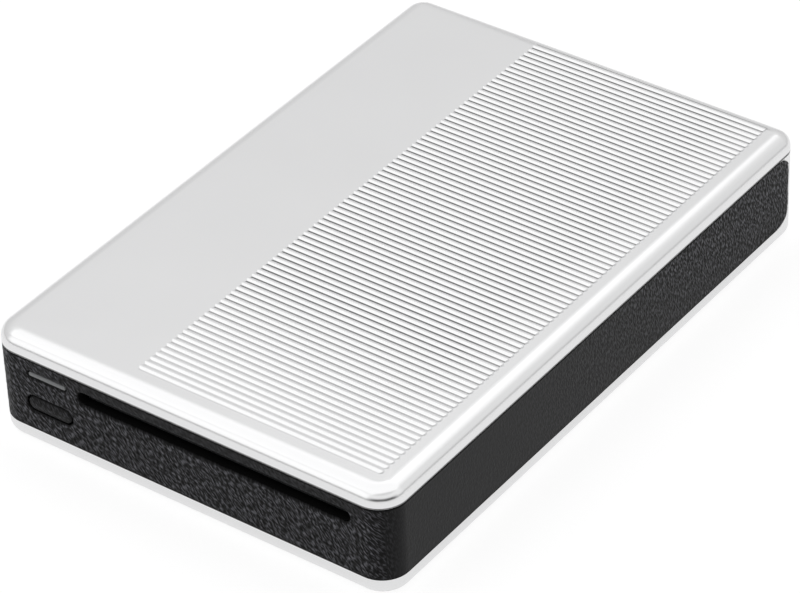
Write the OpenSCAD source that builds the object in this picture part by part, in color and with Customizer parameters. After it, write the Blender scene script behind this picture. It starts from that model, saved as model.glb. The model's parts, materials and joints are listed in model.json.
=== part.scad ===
// Compact photo printer with a ribbed hinged cover, a leather band and a
// silver housing. Millimetres. The origin is the centre of the flat bottom,
// +Z is up, -Y is the face with the paper slot.

/* [Paper] */
// Width of the paper bay
bay_w = 53; // [48:0.5:60]
// Length of the paper bay
bay_l = 78; // [70:0.5:90]
// Distance from the bay to the rear face
rear_room = 5; // [3.9:0.05:6]
// Distance from the slot face to the exit roller's axis
face_room = 8.75; // [8.2:0.05:10]
// Distance from the exit roller's axis to the platen's axis
exit_span = 13; // [11.6:0.1:15]
// Distance from the bay's front wall to the pick-up roller's axis
pickup_reach = 4.3; // [4:0.1:5]
// Distance from the engine's right side plate to the right side
side_room = 5.4; // [5.2:0.1:7]
// Height of the printer over the paper path
head_room = 6.5; // [6.3:0.05:7.5]

/* [Body] */
// Plan radius of the two corners at the slot face
front_corner_r = 5; // [4:0.1:6]
// Plan radius of the two corners at the rear face
rear_corner_r = 3.5; // [3.2:0.1:4.5]
// Radius where a side wall starts to turn over
edge_r = 2.2; // [1.8:0.1:2.4]
// Radius of the softer crown that ends the turn
crown_r = 4; // [3:0.1:4.6]
// Angle turned by the tighter radius before the crown takes over
edge_turn = 60; // [50:1:70]

/* [Cover] */
// Height of the cover from its lower edge to its flat top
cover_h = 3.2; // [3:0.05:3.4]
// Gap between the cover's lower edge and the housing
seam = 0.2; // [0.15:0.05:0.3]
// Thickness of the cover's skirt
skirt_t = 1.3; // [1.1:0.1:1.4]
// Thickness of the cover's top
skin_t = 1.1; // [1:0.05:1.2]
// Distance from one rib to the next
rib_pitch = 1.4; // [1.3:0.05:1.6]
// Height of a rib over the flat top
rib_h = 0.26; // [0.15:0.01:0.35]
// Width of a rib where it leaves the top
rib_w = 1.26; // [1.1:0.02:1.28]
// Smooth margin between the slot face and the first rib
rib_front_margin = 4.85; // [4:0.05:8]
// Smooth margin between the last rib and the rear face
rib_rear_margin = 1.5; // [1.4:0.05:3]
// Smooth margin between the ribs and the right side
rib_side_margin = 4.6; // [4:0.1:8]
// Length of each rib
rib_l = 48; // [44:0.1:52]

/* [Housing] */
// Thickness of the housing's walls
wall = 2; // [1.9:0.05:2.2]
// Thickness of the housing's floor
floor_t = 1.3; // [1.1:0.1:1.4]
// Height of the silver rim under the leather band
rim_h = 3.65; // [3.2:0.05:4]
// Thickness of the leather band
leather_t = 0.6; // [0.5:0.05:0.7]
// Distance from the leather band's ends to the rear face
leather_rear_gap = 2.6; // [1:0.1:3.5]
// Radius of the leather band's ends
leather_end_r = 3.5; // [2.5:0.1:4]
// Thickness of the locating lip inside the cover's skirt
lip_t = 0.5; // [0.4:0.05:0.6]
// Height of the locating lip over the housing's wall
lip_h = 0.8; // [0.5:0.1:1]

/* [Slot face] */
// Part of the paper slot at each end that the paper leaves free
slot_margin = 0.65; // [0.3:0.05:1.5]
// Height of the paper slot
slot_h = 2.3; // [1.2:0.05:2.4]
// Length of the power button
button_l = 9.5; // [8:0.1:10]
// Height of the power button
button_h = 3.05; // [2.6:0.05:3.4]
// Height of the power button's centre over the bottom
button_z = 8.9; // [8.4:0.1:9.4]
// Distance from the power button's centre to the left side
button_inset = 11.85; // [11.4:0.05:12.2]
// Travel of the power button
button_travel = 0.4; // [0.3:0.05:0.5]
// Length of the status light
light_l = 7.95; // [6:0.05:8.2]
// Height of the status light
light_h = 1; // [0.8:0.05:1.1]

/* [Hinge] */
// Distance from the rear face in to the hinge axis
hinge_depth = 0.95; // [0.93:0.01:1]
// Height of the hinge axis over the cover's lower edge
hinge_rise = 0.9; // [0.88:0.01:0.95]
// Distance from the middle to each hinge
hinge_x = 26; // [20:0.5:29]
// Radius of a hinge knuckle
knuckle_r = 0.8; // [0.75:0.01:0.82]
// Length of a hinge knuckle
knuckle_l = 5; // [4:0.1:6]
// Radius of a hinge pin
pin_r = 0.4; // [0.35:0.01:0.45]

/* [Rollers] */
// Radius of the platen roller
platen_r = 4; // [3.8:0.05:4.2]
// Radius of the pick-up roller
pickup_r = 4.5; // [4.3:0.05:4.7]
// Radius of the exit rollers
exit_r = 3; // [2.8:0.05:3.2]
// Radius of the pinch rollers over the exit rollers
pinch_r = 1.8; // [1.6:0.05:1.85]
// Radius of the roller shafts
shaft_r = 1.5; // [1.3:0.05:1.6]
// Distance from the paper's middle to each pick-up tyre
pickup_off = 11; // [9:0.5:13]
// Distance from the paper's middle to each exit tyre
exit_off = 14; // [12:0.5:16]
// Width of the tyres
tyre_w = 9; // [7:0.5:10]
// Gap between the thermal head and the platen, where paper runs
head_gap = 0.1; // [0.05:0.01:0.15]

/* [Drive] */
// Module of the roller gears
gear_module = 0.5; // [0.48:0.005:0.52]
// Module of the motor's reduction gears
fine_module = 0.4; // [0.39:0.005:0.41]
// Radius of the motor's can
motor_r = 7.2; // [6.5:0.1:7.3]
// Length of the motor's can
motor_l = 6.5; // [6:0.1:6.6]

/* [Electronics] */
// Distance from the print engine's plate to the battery
battery_gap = 3.9; // [2:0.1:6]
// Thickness of the battery
battery_t = 5; // [4:0.1:7]
// Width of the main board
board_w = 25; // [23:0.5:28]
// Thickness of the boards
board_t = 1; // [0.8:0.1:1.2]

/* [Fits] */
// Radial clearance of a shaft in its bush
running = 0.04; // [0.03:0.005:0.06]
// Clearance of a part seated in a recess
seat = 0.02; // [0.015:0.005:0.05]
// Gap round a moving panel
slip = 0.15; // [0.1:0.01:0.2]

/* [Hidden] */
$fn = 48;

// Turn of the body's edges
edge_run = edge_r * (1 - cos(edge_turn)) + crown_r * cos(edge_turn);
edge_rise = edge_r * sin(edge_turn) + crown_r * (1 - sin(edge_turn));
crown_depth = edge_rise - edge_r * sin(edge_turn);

// Gears: tooth counts, widths and the clearance between them
platen_teeth = 24;
pickup_teeth = 27;
exit_teeth = 18;
exit_idler_teeth = 12;
link_teeth = 14;
link_big_teeth = 26;
step_teeth = 12;
step_big_teeth = 28;
pinion_teeth = 10;
addendum = 0.9;
dedendum = 1.15;
mesh_gap = 0.06;
gear_gap = 0.2;
plate_gap = 0.4;
roller_gear_w = 2.1;
fine_gear_w = 1.8;
motor_gear_w = 1.7;

function tip_radius(teeth, m) = (teeth / 2 + addendum) * m;

function mesh_distance(a, b, m) = (a + b) * m / 2 + mesh_gap;

// Side of a right triangle from its longest and its other side
function leg(far, side) = sqrt(far * far - side * side);

// Levels, from the floor up
gear_floor_gap = 1.1;
link_floor_gap = 0.4;
tyre_rise = 0.9;
tray_drop = 1.4;
pickup_z = floor_t + gear_floor_gap + tip_radius(pickup_teeth, gear_module);
tray_z = pickup_z + pickup_r - tyre_rise;
path_z = tray_z + tray_drop;
body_h = path_z + head_room;
joint_z = body_h - cover_h;
wall_top = joint_z - seam;
ceiling_z = body_h - skin_t;
tray_t = 1;
bay_wall = 1.2;
deck_t = 0.7;
deck_z = wall_top - deck_t;
boss_h = 0.8;
deck_seat_z = deck_z - boss_h;
platform_top = ceiling_z - 0.4;
platform_t = 0.7;
base_t = 0.8;
base_z = 3;
link_z = floor_t + link_floor_gap + tip_radius(link_big_teeth, fine_module);

// Places along Y, from the slot face back
platen_z = path_z - platen_r;
link_run = leg(mesh_distance(platen_teeth, link_teeth, gear_module), platen_z - link_z);
pickup_run = leg(mesh_distance(link_teeth, pickup_teeth, gear_module), pickup_z - link_z);
body_l = face_room + exit_span + link_run + pickup_run - pickup_reach + bay_l + rear_room;
half_l = body_l / 2;
inner_l = half_l - wall;
exit_at = [face_room - half_l, path_z - exit_r];
platen_at = [exit_at[0] + exit_span, platen_z];
pickup_at = [platen_at[0] + link_run + pickup_run, pickup_z];
pinch_at = [exit_at[0], path_z + slip + pinch_r];
bay_front = pickup_at[0] - pickup_reach;
bay_rear = half_l - rear_room;
slot_z = path_z - 0.2;
light_z = path_z + 0.275;
slot_l = bay_w + 2 * slot_margin;

// Places along X, from the left side to the right
bracket_t = 0.8;
plate_t = 1.2;
motor_gap = 0.3;
guide_margin = 1.5;
gear_room = motor_gear_w + fine_gear_w + roller_gear_w + 3 * gear_gap + plate_gap;
left_room = wall + motor_gap + motor_l + bracket_t + gear_room;
engine_w = bay_w + 2 * guide_margin;
body_w = left_room + 2 * plate_t + engine_w + side_room;
half_w = body_w / 2;
inner_w = half_w - wall;
bracket_x = motor_gap + motor_l - inner_w;
step_gear_x = bracket_x + bracket_t + gear_gap;
link_gear_x = step_gear_x + motor_gear_w + gear_gap;
roller_gear_x = link_gear_x + fine_gear_w + gear_gap;
plate_left = left_room + plate_t - half_w;
plate_right = plate_left + engine_w;
path_x = plate_left + engine_w / 2;
button_x = half_w - button_inset;
bay_left = path_x - bay_w / 2;
bay_right = path_x + bay_w / 2;
paper_w = bay_w - 3;
head_w = bay_w - 0.4;
arm_x = head_w / 2 + 0.4;

// Centres of the right corners at the slot face and at the rear
corner_x = half_w - front_corner_r;
corner_y = front_corner_r - half_l;
rear_x = half_w - rear_corner_r;
rear_y = half_l - rear_corner_r;

// Ribs on the cover
rib_r = (rib_w * rib_w / 4 + rib_h * rib_h) / (2 * rib_h);
rib_count = floor((body_l - rib_front_margin - rib_rear_margin) / rib_pitch);
rib_right = half_w - rib_side_margin;

// Hinge
hinge_y = half_l - hinge_depth;
hinge_z = joint_z + hinge_rise;
sweep_r = sqrt(hinge_depth * hinge_depth + hinge_rise * hinge_rise) + 0.04;
pin_l = 3 * knuckle_l + 2 * slip;

// Engine frame
frame_front = 3.65 - half_l;
frame_rear = pickup_at[0] + 6.5;
plate_top = platform_top - platform_t - 0.6;
bush_r = 2.4;
flange_r = bush_r + 0.6;
flange_t = 0.4;
pivot_at = [bay_front - 4.7, path_z + 2];
lever_at = [bay_front - 6.7, path_z - 3.6];
lever_x = path_x - 0.348 * paper_w;
pinch_shaft_r = 0.75;
spring_back = 2.5;
spring_z = lever_at[1] - 1.2;
head_front = 6;
head_rear = 8.2;

// Point at distance ra from a and rb from b, on the side that s picks
function meet(a, b, ra, rb, s) =
    let (d = norm(b - a), t = (ra * ra - rb * rb + d * d) / (2 * d))
    let (h = sqrt(ra * ra - t * t), u = (b - a) / d)
    a + t * u + s * h * [-u[1], u[0]];

// Direction from one gear centre to another
function heading(a, b) = atan2(b[1] - a[1], b[0] - a[0]);

// Turn of a gear with n2 teeth that meshes with one of n1 teeth turned by p1
function mesh_phase(p1, n1, n2, a, b) =
    let (phi = heading(a, b))
    phi + 180 - 180 / n2 + (phi - p1) * n1 / n2;

link_at = [platen_at[0] + link_run, link_z];
exit_idler_at = meet(
    platen_at, exit_at,
    mesh_distance(platen_teeth, exit_idler_teeth, gear_module),
    mesh_distance(exit_idler_teeth, exit_teeth, gear_module), 1);
step_reach = mesh_distance(link_big_teeth, step_teeth, fine_module);
step_lift = 2;
step_at = link_at + [leg(step_reach, step_lift), step_lift];
motor_at = step_at + [mesh_distance(step_big_teeth, pinion_teeth, fine_module), 0];

platen_phase = 0;
link_phase = mesh_phase(platen_phase, platen_teeth, link_teeth, platen_at, link_at);
pickup_phase = mesh_phase(link_phase, link_teeth, pickup_teeth, link_at, pickup_at);
exit_idler_phase = mesh_phase(
    platen_phase, platen_teeth, exit_idler_teeth, platen_at, exit_idler_at);
exit_phase = mesh_phase(
    exit_idler_phase, exit_idler_teeth, exit_teeth, exit_idler_at, exit_at);
step_phase = mesh_phase(link_phase, link_big_teeth, step_teeth, link_at, step_at);
pinion_phase = mesh_phase(step_phase, step_big_teeth, pinion_teeth, step_at, motor_at);

// Motor bracket
bracket_low = floor_t + 1;
bracket_step = 8.3;
bracket_rear = motor_at[0] + motor_r + 0.4;
bracket_front = link_at[0] - 3.4;
plate_rear = bracket_rear + 2;
motor_shaft_r = 0.75;
post_r = 0.8;
spacer_r = 1;
spacers = [
    motor_at + [6.2, -3.3],
    motor_at + [1.6, -6.4],
    link_at + [-2, 8.7]
];

// Screws and posts
post_outer_r = 2.3;
case_post_x = inner_w - 2.8;
rear_post_y = bay_rear - 5.2;
middle_post_y = motor_at[0] + motor_r + 8.3;
case_posts = [
    [-case_post_x, rear_post_y],
    [case_post_x, rear_post_y],
    [-case_post_x, middle_post_y],
    [case_post_x, middle_post_y]
];
front_post = [-case_post_x, platen_at[0] - 0.5];
case_screw_r = 0.8;
case_head_r = 1.5;
case_head_h = 0.6;
case_screw_l = 9;
engine_screw_at = [
    [plate_left + 2.3, frame_front + 2.6],
    [plate_right - 2.3, frame_front + 2.6],
    [plate_left + 2.3, pickup_at[0] + 4],
    [plate_right - 2.3, pickup_at[0] + 4]
];

// Boards
board_z = 5;
board_x = inner_w - 5.5 - board_w;
board_rear = inner_l - 1.85;
board_front = pickup_at[0] + 9.5;
board_l = board_rear - board_front;
shield_l = 15;
shield_t = 0.3;
shield_front = board_front + board_l * 0.375;
chip_front = board_front + board_l * 0.125;
board_posts = [
    [board_x + 2, board_front + 2.5],
    [board_x + board_w - 2, board_front + 2.5],
    [board_x + 2, board_rear - 8],
    [board_x + board_w - 2, board_rear - 8]
];
usb_w = 8.94;
usb_h = 3.16;
usb_l = 7.3;
usb_x = board_x + board_w / 2;
usb_z = board_z + board_t + usb_h / 2;
usb_recess = 0.65;
button_back = 2.05 - half_l;
stem_front = button_back + 0.55;
key_board_y = button_back + 2.4 + button_travel;
key_board_w = 9.3;
key_board_x = -button_x - key_board_w + 0.95;
key_board_z = 4.5;
key_board_h = 12;
switch_x = -button_x - 2;
switch_y = key_board_y - 1.2;
battery_x = post_outer_r + 2.9 - case_post_x;
battery_w = board_x - 3.5 - battery_x;
battery_y = plate_rear + battery_gap;
battery_l = bay_rear - 3.2 - battery_y;

// Cover magnets
magnet_w = 1.6;
magnet_l = 8;
magnet_h = 1.2;
magnet_x = inner_w - 1.4;
magnet_y = exit_at[0] + 4.5;

// Pressure plate under the cover
liner_t = 0.8;
liner_z = ceiling_z - liner_t;
press_pin_r = 0.5;
press_barrel_r = 0.9;
press_t = 0.8;
press_w = 40;
press_spring_x = 13.5;
press_reach = 26.5;
press_at = [pickup_at[0] + press_reach, liner_z - 1.1];
press_l = press_reach + 2.1;
press_angle = asin((press_at[1] - press_barrel_r - tray_z - 1.2) / press_reach);

// ---------------------------------------------------------------- shapes

// Plan of the body, drawn in by inset on every side
module plan_outline(inset = 0) {
    rf = front_corner_r - inset;
    rr = max(rear_corner_r - inset, 0.3);
    w = half_w - inset;
    round_x = w - rr;
    round_y = half_l - inset - rr;
    translate([-w, corner_y]) square([2 * w, round_y - corner_y]);
    translate([-corner_x, corner_y - rf]) square([2 * corner_x, 2 * rf]);
    translate([-round_x, round_y - rr]) square([2 * round_x, 2 * rr]);
    for (side = [-1, 1]) {
        translate([side * corner_x, corner_y]) circle(r = rf);
        translate([side * round_x, round_y]) circle(r = rr);
    }
}

// Plan prism between two heights
module plan_prism(inset, z0, z1) {
    translate([0, 0, z0]) linear_extrude(z1 - z0) plan_outline(inset);
}

// Lower turn of a side wall: a tight radius that runs into a softer crown
module edge_turn_section() {
    translate([-edge_r, edge_rise]) circle(r = edge_r);
    intersection() {
        translate([-edge_run, crown_r]) circle(r = crown_r);
        translate([-edge_run, 0]) square([edge_run, crown_depth]);
    }
    translate([-edge_run, crown_depth]) {
        square([edge_run - edge_r, edge_rise - crown_depth]);
    }
}

// Section through a side wall, outer face at x = 0, body to the left
module wall_section(depth) {
    translate([-depth, 0]) square([depth - edge_run, body_h]);
    translate([-depth, edge_rise]) square([depth, body_h - 2 * edge_rise]);
    edge_turn_section();
    translate([0, body_h]) mirror([0, 1]) edge_turn_section();
}

// Section through the whole body between two opposite faces
module body_section(half) {
    for (side = [0, 1]) mirror([side, 0]) translate([half, 0]) wall_section(half);
}

// Corner of the body: the wall section turned through a right angle
module corner_turn(r) {
    rotate_extrude(angle = 90) intersection() {
        translate([r, 0]) wall_section(r);
        square([r, body_h]);
    }
}

// Whole soft-edged body, cover and housing together
module body_envelope() {
    translate([corner_x, -half_l, 0]) {
        rotate([90, 0, -90]) linear_extrude(2 * corner_x) wall_section(front_corner_r);
    }
    translate([0, rear_y, 0]) {
        rotate([90, 0, 0]) linear_extrude(rear_y - corner_y) body_section(half_w);
    }
    translate([-rear_x, half_l, 0]) {
        rotate([90, 0, 90]) linear_extrude(2 * rear_x) wall_section(rear_corner_r);
    }
    for (side = [0, 1]) mirror([side, 0, 0]) {
        translate([corner_x, corner_y, 0]) rotate([0, 0, -90]) corner_turn(front_corner_r);
        translate([rear_x, rear_y, 0]) corner_turn(rear_corner_r);
    }
}

// Box from its low corner to its high corner
module span(low, high) {
    translate(low) cube(high - low);
}

// Cylinder along X at a place in the Y-Z plane
module rod_x(at, r, x0, x1) {
    translate([x0, at[0], at[1]]) rotate([0, 90, 0]) cylinder(r = r, h = x1 - x0);
}

// Cylinder along Y
module rod_y(x, z, r, y0, y1) {
    translate([x, y1, z]) rotate([90, 0, 0]) cylinder(r = r, h = y1 - y0);
}

// Cylinder standing along Z
module post(at, r, z0, z1) {
    translate([at[0], at[1], z0]) cylinder(r = r, h = z1 - z0);
}

// Bar with round ends along X, through the slot face
module stadium_y(x, z, l, h, y0, y1) {
    for (side = [-1, 1]) rod_y(x + side * (l - h) / 2, z, h / 2, y0, y1);
    span([x - (l - h) / 2, y0, z - h / 2], [x + (l - h) / 2, y1, z + h / 2]);
}

// Shape drawn in the Y-Z plane, extruded along X
module along_x(x0, x1) {
    translate([x0, 0, 0]) rotate([90, 0, 90]) linear_extrude(x1 - x0) children();
}

// Spur gear profile with straight-flanked teeth and backlash
module gear_profile(teeth, m) {
    pitch = 360 / teeth;
    root = (teeth / 2 - dedendum) * m;
    tip = tip_radius(teeth, m);
    root_half = pitch * 0.31;
    tip_half = pitch * 0.09;
    mid = teeth * m / 2;
    mid_half = pitch * 0.215;
    polygon([
        for (k = [0 : teeth - 1], c = [
            [root, -root_half], [mid, -mid_half], [tip, -tip_half],
            [tip, tip_half], [mid, mid_half], [root, root_half]])
        c[0] * [cos(k * pitch + c[1]), sin(k * pitch + c[1])]
    ]);
}

// Gear wheel with a true bore, its faces across X
module gear_wheel(at, teeth, m, x0, width, phase, bore) {
    translate([0, at[0], at[1]]) along_x(x0, x0 + width) rotate([0, 0, phase]) {
        difference() {
            gear_profile(teeth, m);
            circle(r = bore);
        }
    }
}

// Tyre or bush: a ring along X
module ring_x(at, r, bore, x0, x1) {
    difference() {
        rod_x(at, r, x0, x1);
        rod_x(at, bore, x0 - 1, x1 + 1);
    }
}

// Screw standing along Z, its head's top at z
module screw(at, z, head_r, head_h, shank_r, l) {
    difference() {
        union() {
            post(at, head_r, z - head_h, z);
            post(at, shank_r, z - head_h - l, z - head_h);
        }
        for (turn = [0, 90]) translate([at[0], at[1], z]) rotate([0, 0, turn]) {
            cube([head_r * 1.1, 0.35, head_h], center = true);
        }
    }
}

// Round-wire compression spring along Z as one swept tube
module coil_spring(at, z0, z1, coil_r, wire_r, turns) {
    sides = 6;
    rings = 8 * turns;
    points = [
        for (i = [0 : rings], k = [0 : sides - 1])
        let (a = 360 * turns * i / rings, b = 360 * k / sides)
        let (reach = coil_r + wire_r * cos(b))
        [
            at[0] + reach * cos(a),
            at[1] + reach * sin(a),
            z0 + wire_r + (z1 - z0 - 2 * wire_r) * i / rings + wire_r * sin(b)
        ]
    ];
    skin = [
        for (i = [0 : rings - 1], k = [0 : sides - 1])
        let (n = (k + 1) % sides, p = i * sides, q = p + sides)
        each [[p + k, q + k, q + n], [p + k, q + n, p + n]]
    ];
    low_end = [for (k = [1 : sides - 2]) [0, k, k + 1]];
    high_end = [for (k = [1 : sides - 2]) let (p = rings * sides) [p, p + k + 1, p + k]];
    polyhedron(points = points, faces = concat(skin, low_end, high_end));
}

// ----------------------------------------------------------------- cover

// Height of the cover's surface at y, flat and then down the rear crown
function top_at(y) =
    let (past = y - (half_l - edge_run))
    past <= 0 ? body_h : body_h - crown_r + sqrt(crown_r * crown_r - past * past);

// Crests of all the ribs, seen along X
module rib_crests() {
    for (i = [0 : rib_count - 1]) {
        y = rib_front_margin - half_l + (i + 0.5) * rib_pitch;
        translate([y, top_at(y) + rib_h - rib_r]) circle(r = rib_r);
    }
}

// Plan of the ribs: bars with round ends
module rib_plan() {
    for (i = [0 : rib_count - 1]) {
        translate([rib_right, rib_front_margin - half_l + (i + 0.5) * rib_pitch]) {
            translate([-rib_w / 2, 0]) circle(r = rib_w / 2);
            translate([rib_w / 2 - rib_l, 0]) circle(r = rib_w / 2);
            translate([rib_w / 2 - rib_l, -rib_w / 2]) square([rib_l - rib_w, rib_w]);
        }
    }
}

// Raised ribs across the top, sunk so that only their crests stand out
module cover_ribs() {
    intersection() {
        along_x(rib_right - rib_l, rib_right) intersection() {
            rib_crests();
            translate([-half_l, body_h - edge_rise]) square([body_l, edge_rise + rib_h]);
        }
        translate([0, 0, joint_z]) linear_extrude(cover_h + rib_h) rib_plan();
    }
}

module top_cover() {
    gap = knuckle_l / 2 + slip;
    color("silver") difference() {
        union() {
            difference() {
                union() {
                    intersection() {
                        body_envelope();
                        span([-half_w, -half_l, joint_z], [half_w, half_l, body_h]);
                    }
                    cover_ribs();
                }
                plan_prism(skirt_t, joint_z - 2, ceiling_z - 0.8);
                plan_prism(skirt_t * 2, joint_z - 2, ceiling_z);
            }
            for (side = [-1, 1]) {
                x = side * hinge_x;
                for (end = [-1, 1]) {
                    near = x + end * gap;
                    far = x + end * (gap + knuckle_l);
                    rod_x([hinge_y, hinge_z], knuckle_r, min(near, far), max(near, far));
                }
                magnet_pocket(side * magnet_x, liner_z - 0.6, ceiling_z);
            }
        }
        for (side = [-1, 1]) {
            x = side * hinge_x;
            rod_x([hinge_y, hinge_z], pin_r + running, x - pin_l / 2 - 0.1, x + pin_l / 2 + 0.1);
            span(
                [x - gap, hinge_y - knuckle_r - 0.3, joint_z - 1],
                [x + gap, half_l + 1, hinge_z + knuckle_r + 0.05]);
            magnet_slot(side * magnet_x, joint_z, ceiling_z);
        }
    }
}

// Upright block with the plan of a bar magnet, grown by c on every side
module magnet_block(x, z0, z1, c) {
    span(
        [x - magnet_w / 2 - c, magnet_y - magnet_l / 2 - c, z0],
        [x + magnet_w / 2 + c, magnet_y + magnet_l / 2 + c, z1]);
}

// Walls round a bar magnet, before its slot is cut
module magnet_pocket(x, z0, z1) magnet_block(x, z0, z1, 0.5);

module magnet_slot(x, z0, z1) magnet_block(x, z0, z1, seat);

module bar_magnet(x, z) magnet_block(x, z, z + magnet_h, 0);

module cover_magnets() {
    color("dimgray") for (side = [-1, 1]) bar_magnet(side * magnet_x, ceiling_z - magnet_h);
}

module cover_liner() {
    ear_t = 1.6;
    color("#303234") difference() {
        union() {
            span(
                [bay_left + 0.6, pickup_at[0] - 2.5, liner_z],
                [bay_right - 0.6, bay_rear - 0.7, ceiling_z]);
            for (side = [-1, 1]) {
                x = path_x + side * (press_w / 2 + slip + ear_t / 2);
                rod_x(press_at, press_barrel_r, x - ear_t / 2, x + ear_t / 2);
                span(
                    [x - ear_t / 2, press_at[0] - press_barrel_r, press_at[1]],
                    [x + ear_t / 2, press_at[0] + press_barrel_r, liner_z]);
            }
            for (y = [press_at[0] + 8 : 9 : bay_rear - 2]) {
                span([bay_left + 4, y, liner_z - 0.1], [bay_right - 4, y + 0.8, liner_z]);
            }
        }
        rod_x(press_at, press_pin_r + seat, -half_w, half_w);
    }
}

module pressure_pin() {
    reach = press_w / 2 + slip + 1.6;
    color("gainsboro") rod_x(press_at, press_pin_r, path_x - reach, path_x + reach);
}

module pressure_plate() {
    color("#2b2d2f") translate([path_x, press_at[0], press_at[1]]) rotate([press_angle, 0, 0]) {
        difference() {
            union() {
                rod_x([0, 0], press_barrel_r, -press_w / 2, press_w / 2);
                span(
                    [-press_w / 2, -press_l, -press_barrel_r],
                    [press_w / 2, 0, press_t - press_barrel_r]);
                for (i = [-2 : 2]) {
                    span(
                        [i * 9 - 0.4, -press_l, press_t - press_barrel_r],
                        [i * 9 + 0.4, -2, press_t - press_barrel_r + 0.5]);
                }
            }
            rod_x([0, 0], press_pin_r + running, -press_w, press_w);
            for (side = [-1, 1]) {
                x = side * press_spring_x;
                span([x - 3, -9, -2], [x + 3, -6, 2]);
            }
        }
    }
}

// Two leaf springs with rolled feet between the liner and the pressure plate
module pressure_springs() {
    leaf_t = 0.25;
    foot_r = 0.4;
    reach = 20;
    root_y = press_at[0] - 4.5;
    root_z = liner_z - leaf_t;
    plate_z = press_at[1] - reach * sin(press_angle) + press_t - press_barrel_r;
    drop = root_z + leaf_t / 2 - plate_z - foot_r - seat;
    run = root_y - (press_at[0] - reach * cos(press_angle));
    lean = atan2(drop, run);
    leaf_l = run / cos(lean);
    color("lightsteelblue") for (side = [-1, 1]) {
        translate([path_x + side * press_spring_x, root_y, root_z]) {
            span([-2, -0.1, 0], [2, 3, leaf_t - seat]);
            rotate([lean, 0, 0]) {
                span([-2, -leaf_l, 0], [2, 0, leaf_t]);
                rod_x([-leaf_l, leaf_t / 2], foot_r, -2, 2);
            }
        }
    }
}

module hinge_pins() {
    color("gainsboro") for (side = [-1, 1]) {
        rod_x([hinge_y, hinge_z], pin_r, side * hinge_x - pin_l / 2, side * hinge_x + pin_l / 2);
    }
}

// --------------------------------------------------------------- housing

// Outline of the leather band seen from the side, open towards the slot face
module band_side(inset) {
    y0 = -half_l - 1;
    y1 = half_l - leather_rear_gap - inset;
    z0 = rim_h + inset;
    z1 = wall_top;
    r = leather_end_r;
    translate([y0, z0]) square([y1 - r - y0, z1 - z0]);
    translate([y1 - 2 * r, z0 + r]) square([2 * r, z1 - z0 - 2 * r]);
    translate([y1 - r, z0 + r]) circle(r = r);
    translate([y1 - r, z1 - r]) circle(r = r);
}

// Leather wrapped round the slot face and both sides
module band_solid(depth, inset) {
    intersection() {
        difference() {
            plan_prism(0, rim_h, wall_top);
            plan_prism(depth, rim_h - 1, wall_top + 1);
        }
        along_x(-half_w - 1, half_w + 1) band_side(inset);
    }
}

// Openings in the slot face, grown by c
module face_openings(c) {
    y0 = -half_l - 1;
    y1 = -inner_l + 1;
    stadium_y(path_x, slot_z, slot_l + 2 * c, slot_h + 2 * c, y0, y1);
    stadium_y(-button_x, button_z, button_l + 2 * c, button_h + 2 * c, y0, y1);
    stadium_y(-button_x, light_z, light_l + 2 * c, light_h + 2 * c, y0, y1);
}

module leather_band() {
    color("#2a2a2c") difference() {
        band_solid(leather_t, seat);
        face_openings(0.05);
    }
}

// Lug that carries the middle of a hinge pin
module hinge_lug(x) {
    rod_x([hinge_y, hinge_z], knuckle_r, x - knuckle_l / 2, x + knuckle_l / 2);
    span(
        [x - knuckle_l / 2, hinge_y - knuckle_r, wall_top - 1.5],
        [x + knuckle_l / 2, hinge_y + knuckle_r, hinge_z]);
}

// Rib that keeps the battery in place
module battery_rib(x, y, w, l) {
    span([x, y, floor_t], [x + w, y + l, floor_t + 3]);
}

module lower_housing() {
    lip_inset = wall - lip_t;
    color("gainsboro") difference() {
        union() {
            difference() {
                intersection() {
                    body_envelope();
                    span([-half_w, -half_l, 0], [half_w, half_l, wall_top]);
                }
                plan_prism(wall, floor_t, body_h);
                band_solid(leather_t + seat, 0);
            }
            difference() {
                plan_prism(lip_inset, wall_top - 0.5, wall_top + lip_h);
                plan_prism(wall, wall_top - 1, body_h);
                span([-half_w, bay_rear - 4, 0], [half_w, half_l, body_h]);
            }
            for (at = case_posts) post(at, post_outer_r, floor_t - 0.2, tray_z - tray_t);
            post(front_post, post_outer_r, floor_t - 0.2, deck_seat_z);
            for (at = engine_screw_at) post(at, 2, floor_t - 0.2, base_z);
            for (at = board_posts) post(at, 1.6, floor_t - 0.2, board_z);
            for (z = [key_board_z + 1.5, key_board_z + key_board_h - 5.5]) {
                rod_y(key_board_x + 1.6, z, 1.1, -inner_l - 0.2, key_board_y);
            }
            battery_rib(battery_x - 1.3, battery_y + 6, 1, battery_l - 12);
            battery_rib(battery_x + 4, battery_y - 1.3, battery_w - 8, 1);
            battery_rib(battery_x + 4, battery_y + battery_l + 0.3, battery_w - 8, 1);
        }
        face_openings(0.05);
        rod_x([hinge_y, hinge_z], sweep_r, -half_w - 1, half_w + 1);
        for (at = case_posts) post(at, case_screw_r + seat, deck_seat_z - case_screw_l, body_h);
        post(front_post, case_screw_r + seat, deck_seat_z - case_screw_l, body_h);
        for (at = engine_screw_at) post(at, 0.7 + seat, 1.7, base_z + 1);
        for (at = board_posts) post(at, 0.6 + seat, 2.6, board_z + 1);
        stadium_y(usb_x, usb_z, usb_w + 0.4, usb_h + 0.4, inner_l - 1, half_l + 1);
    }
    color("gainsboro") for (side = [-1, 1]) difference() {
        hinge_lug(side * hinge_x);
        rod_x([hinge_y, hinge_z], pin_r + seat, side * hinge_x - 9, side * hinge_x + 9);
    }
}

// ----------------------------------------------------- deck and paper tray

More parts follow.
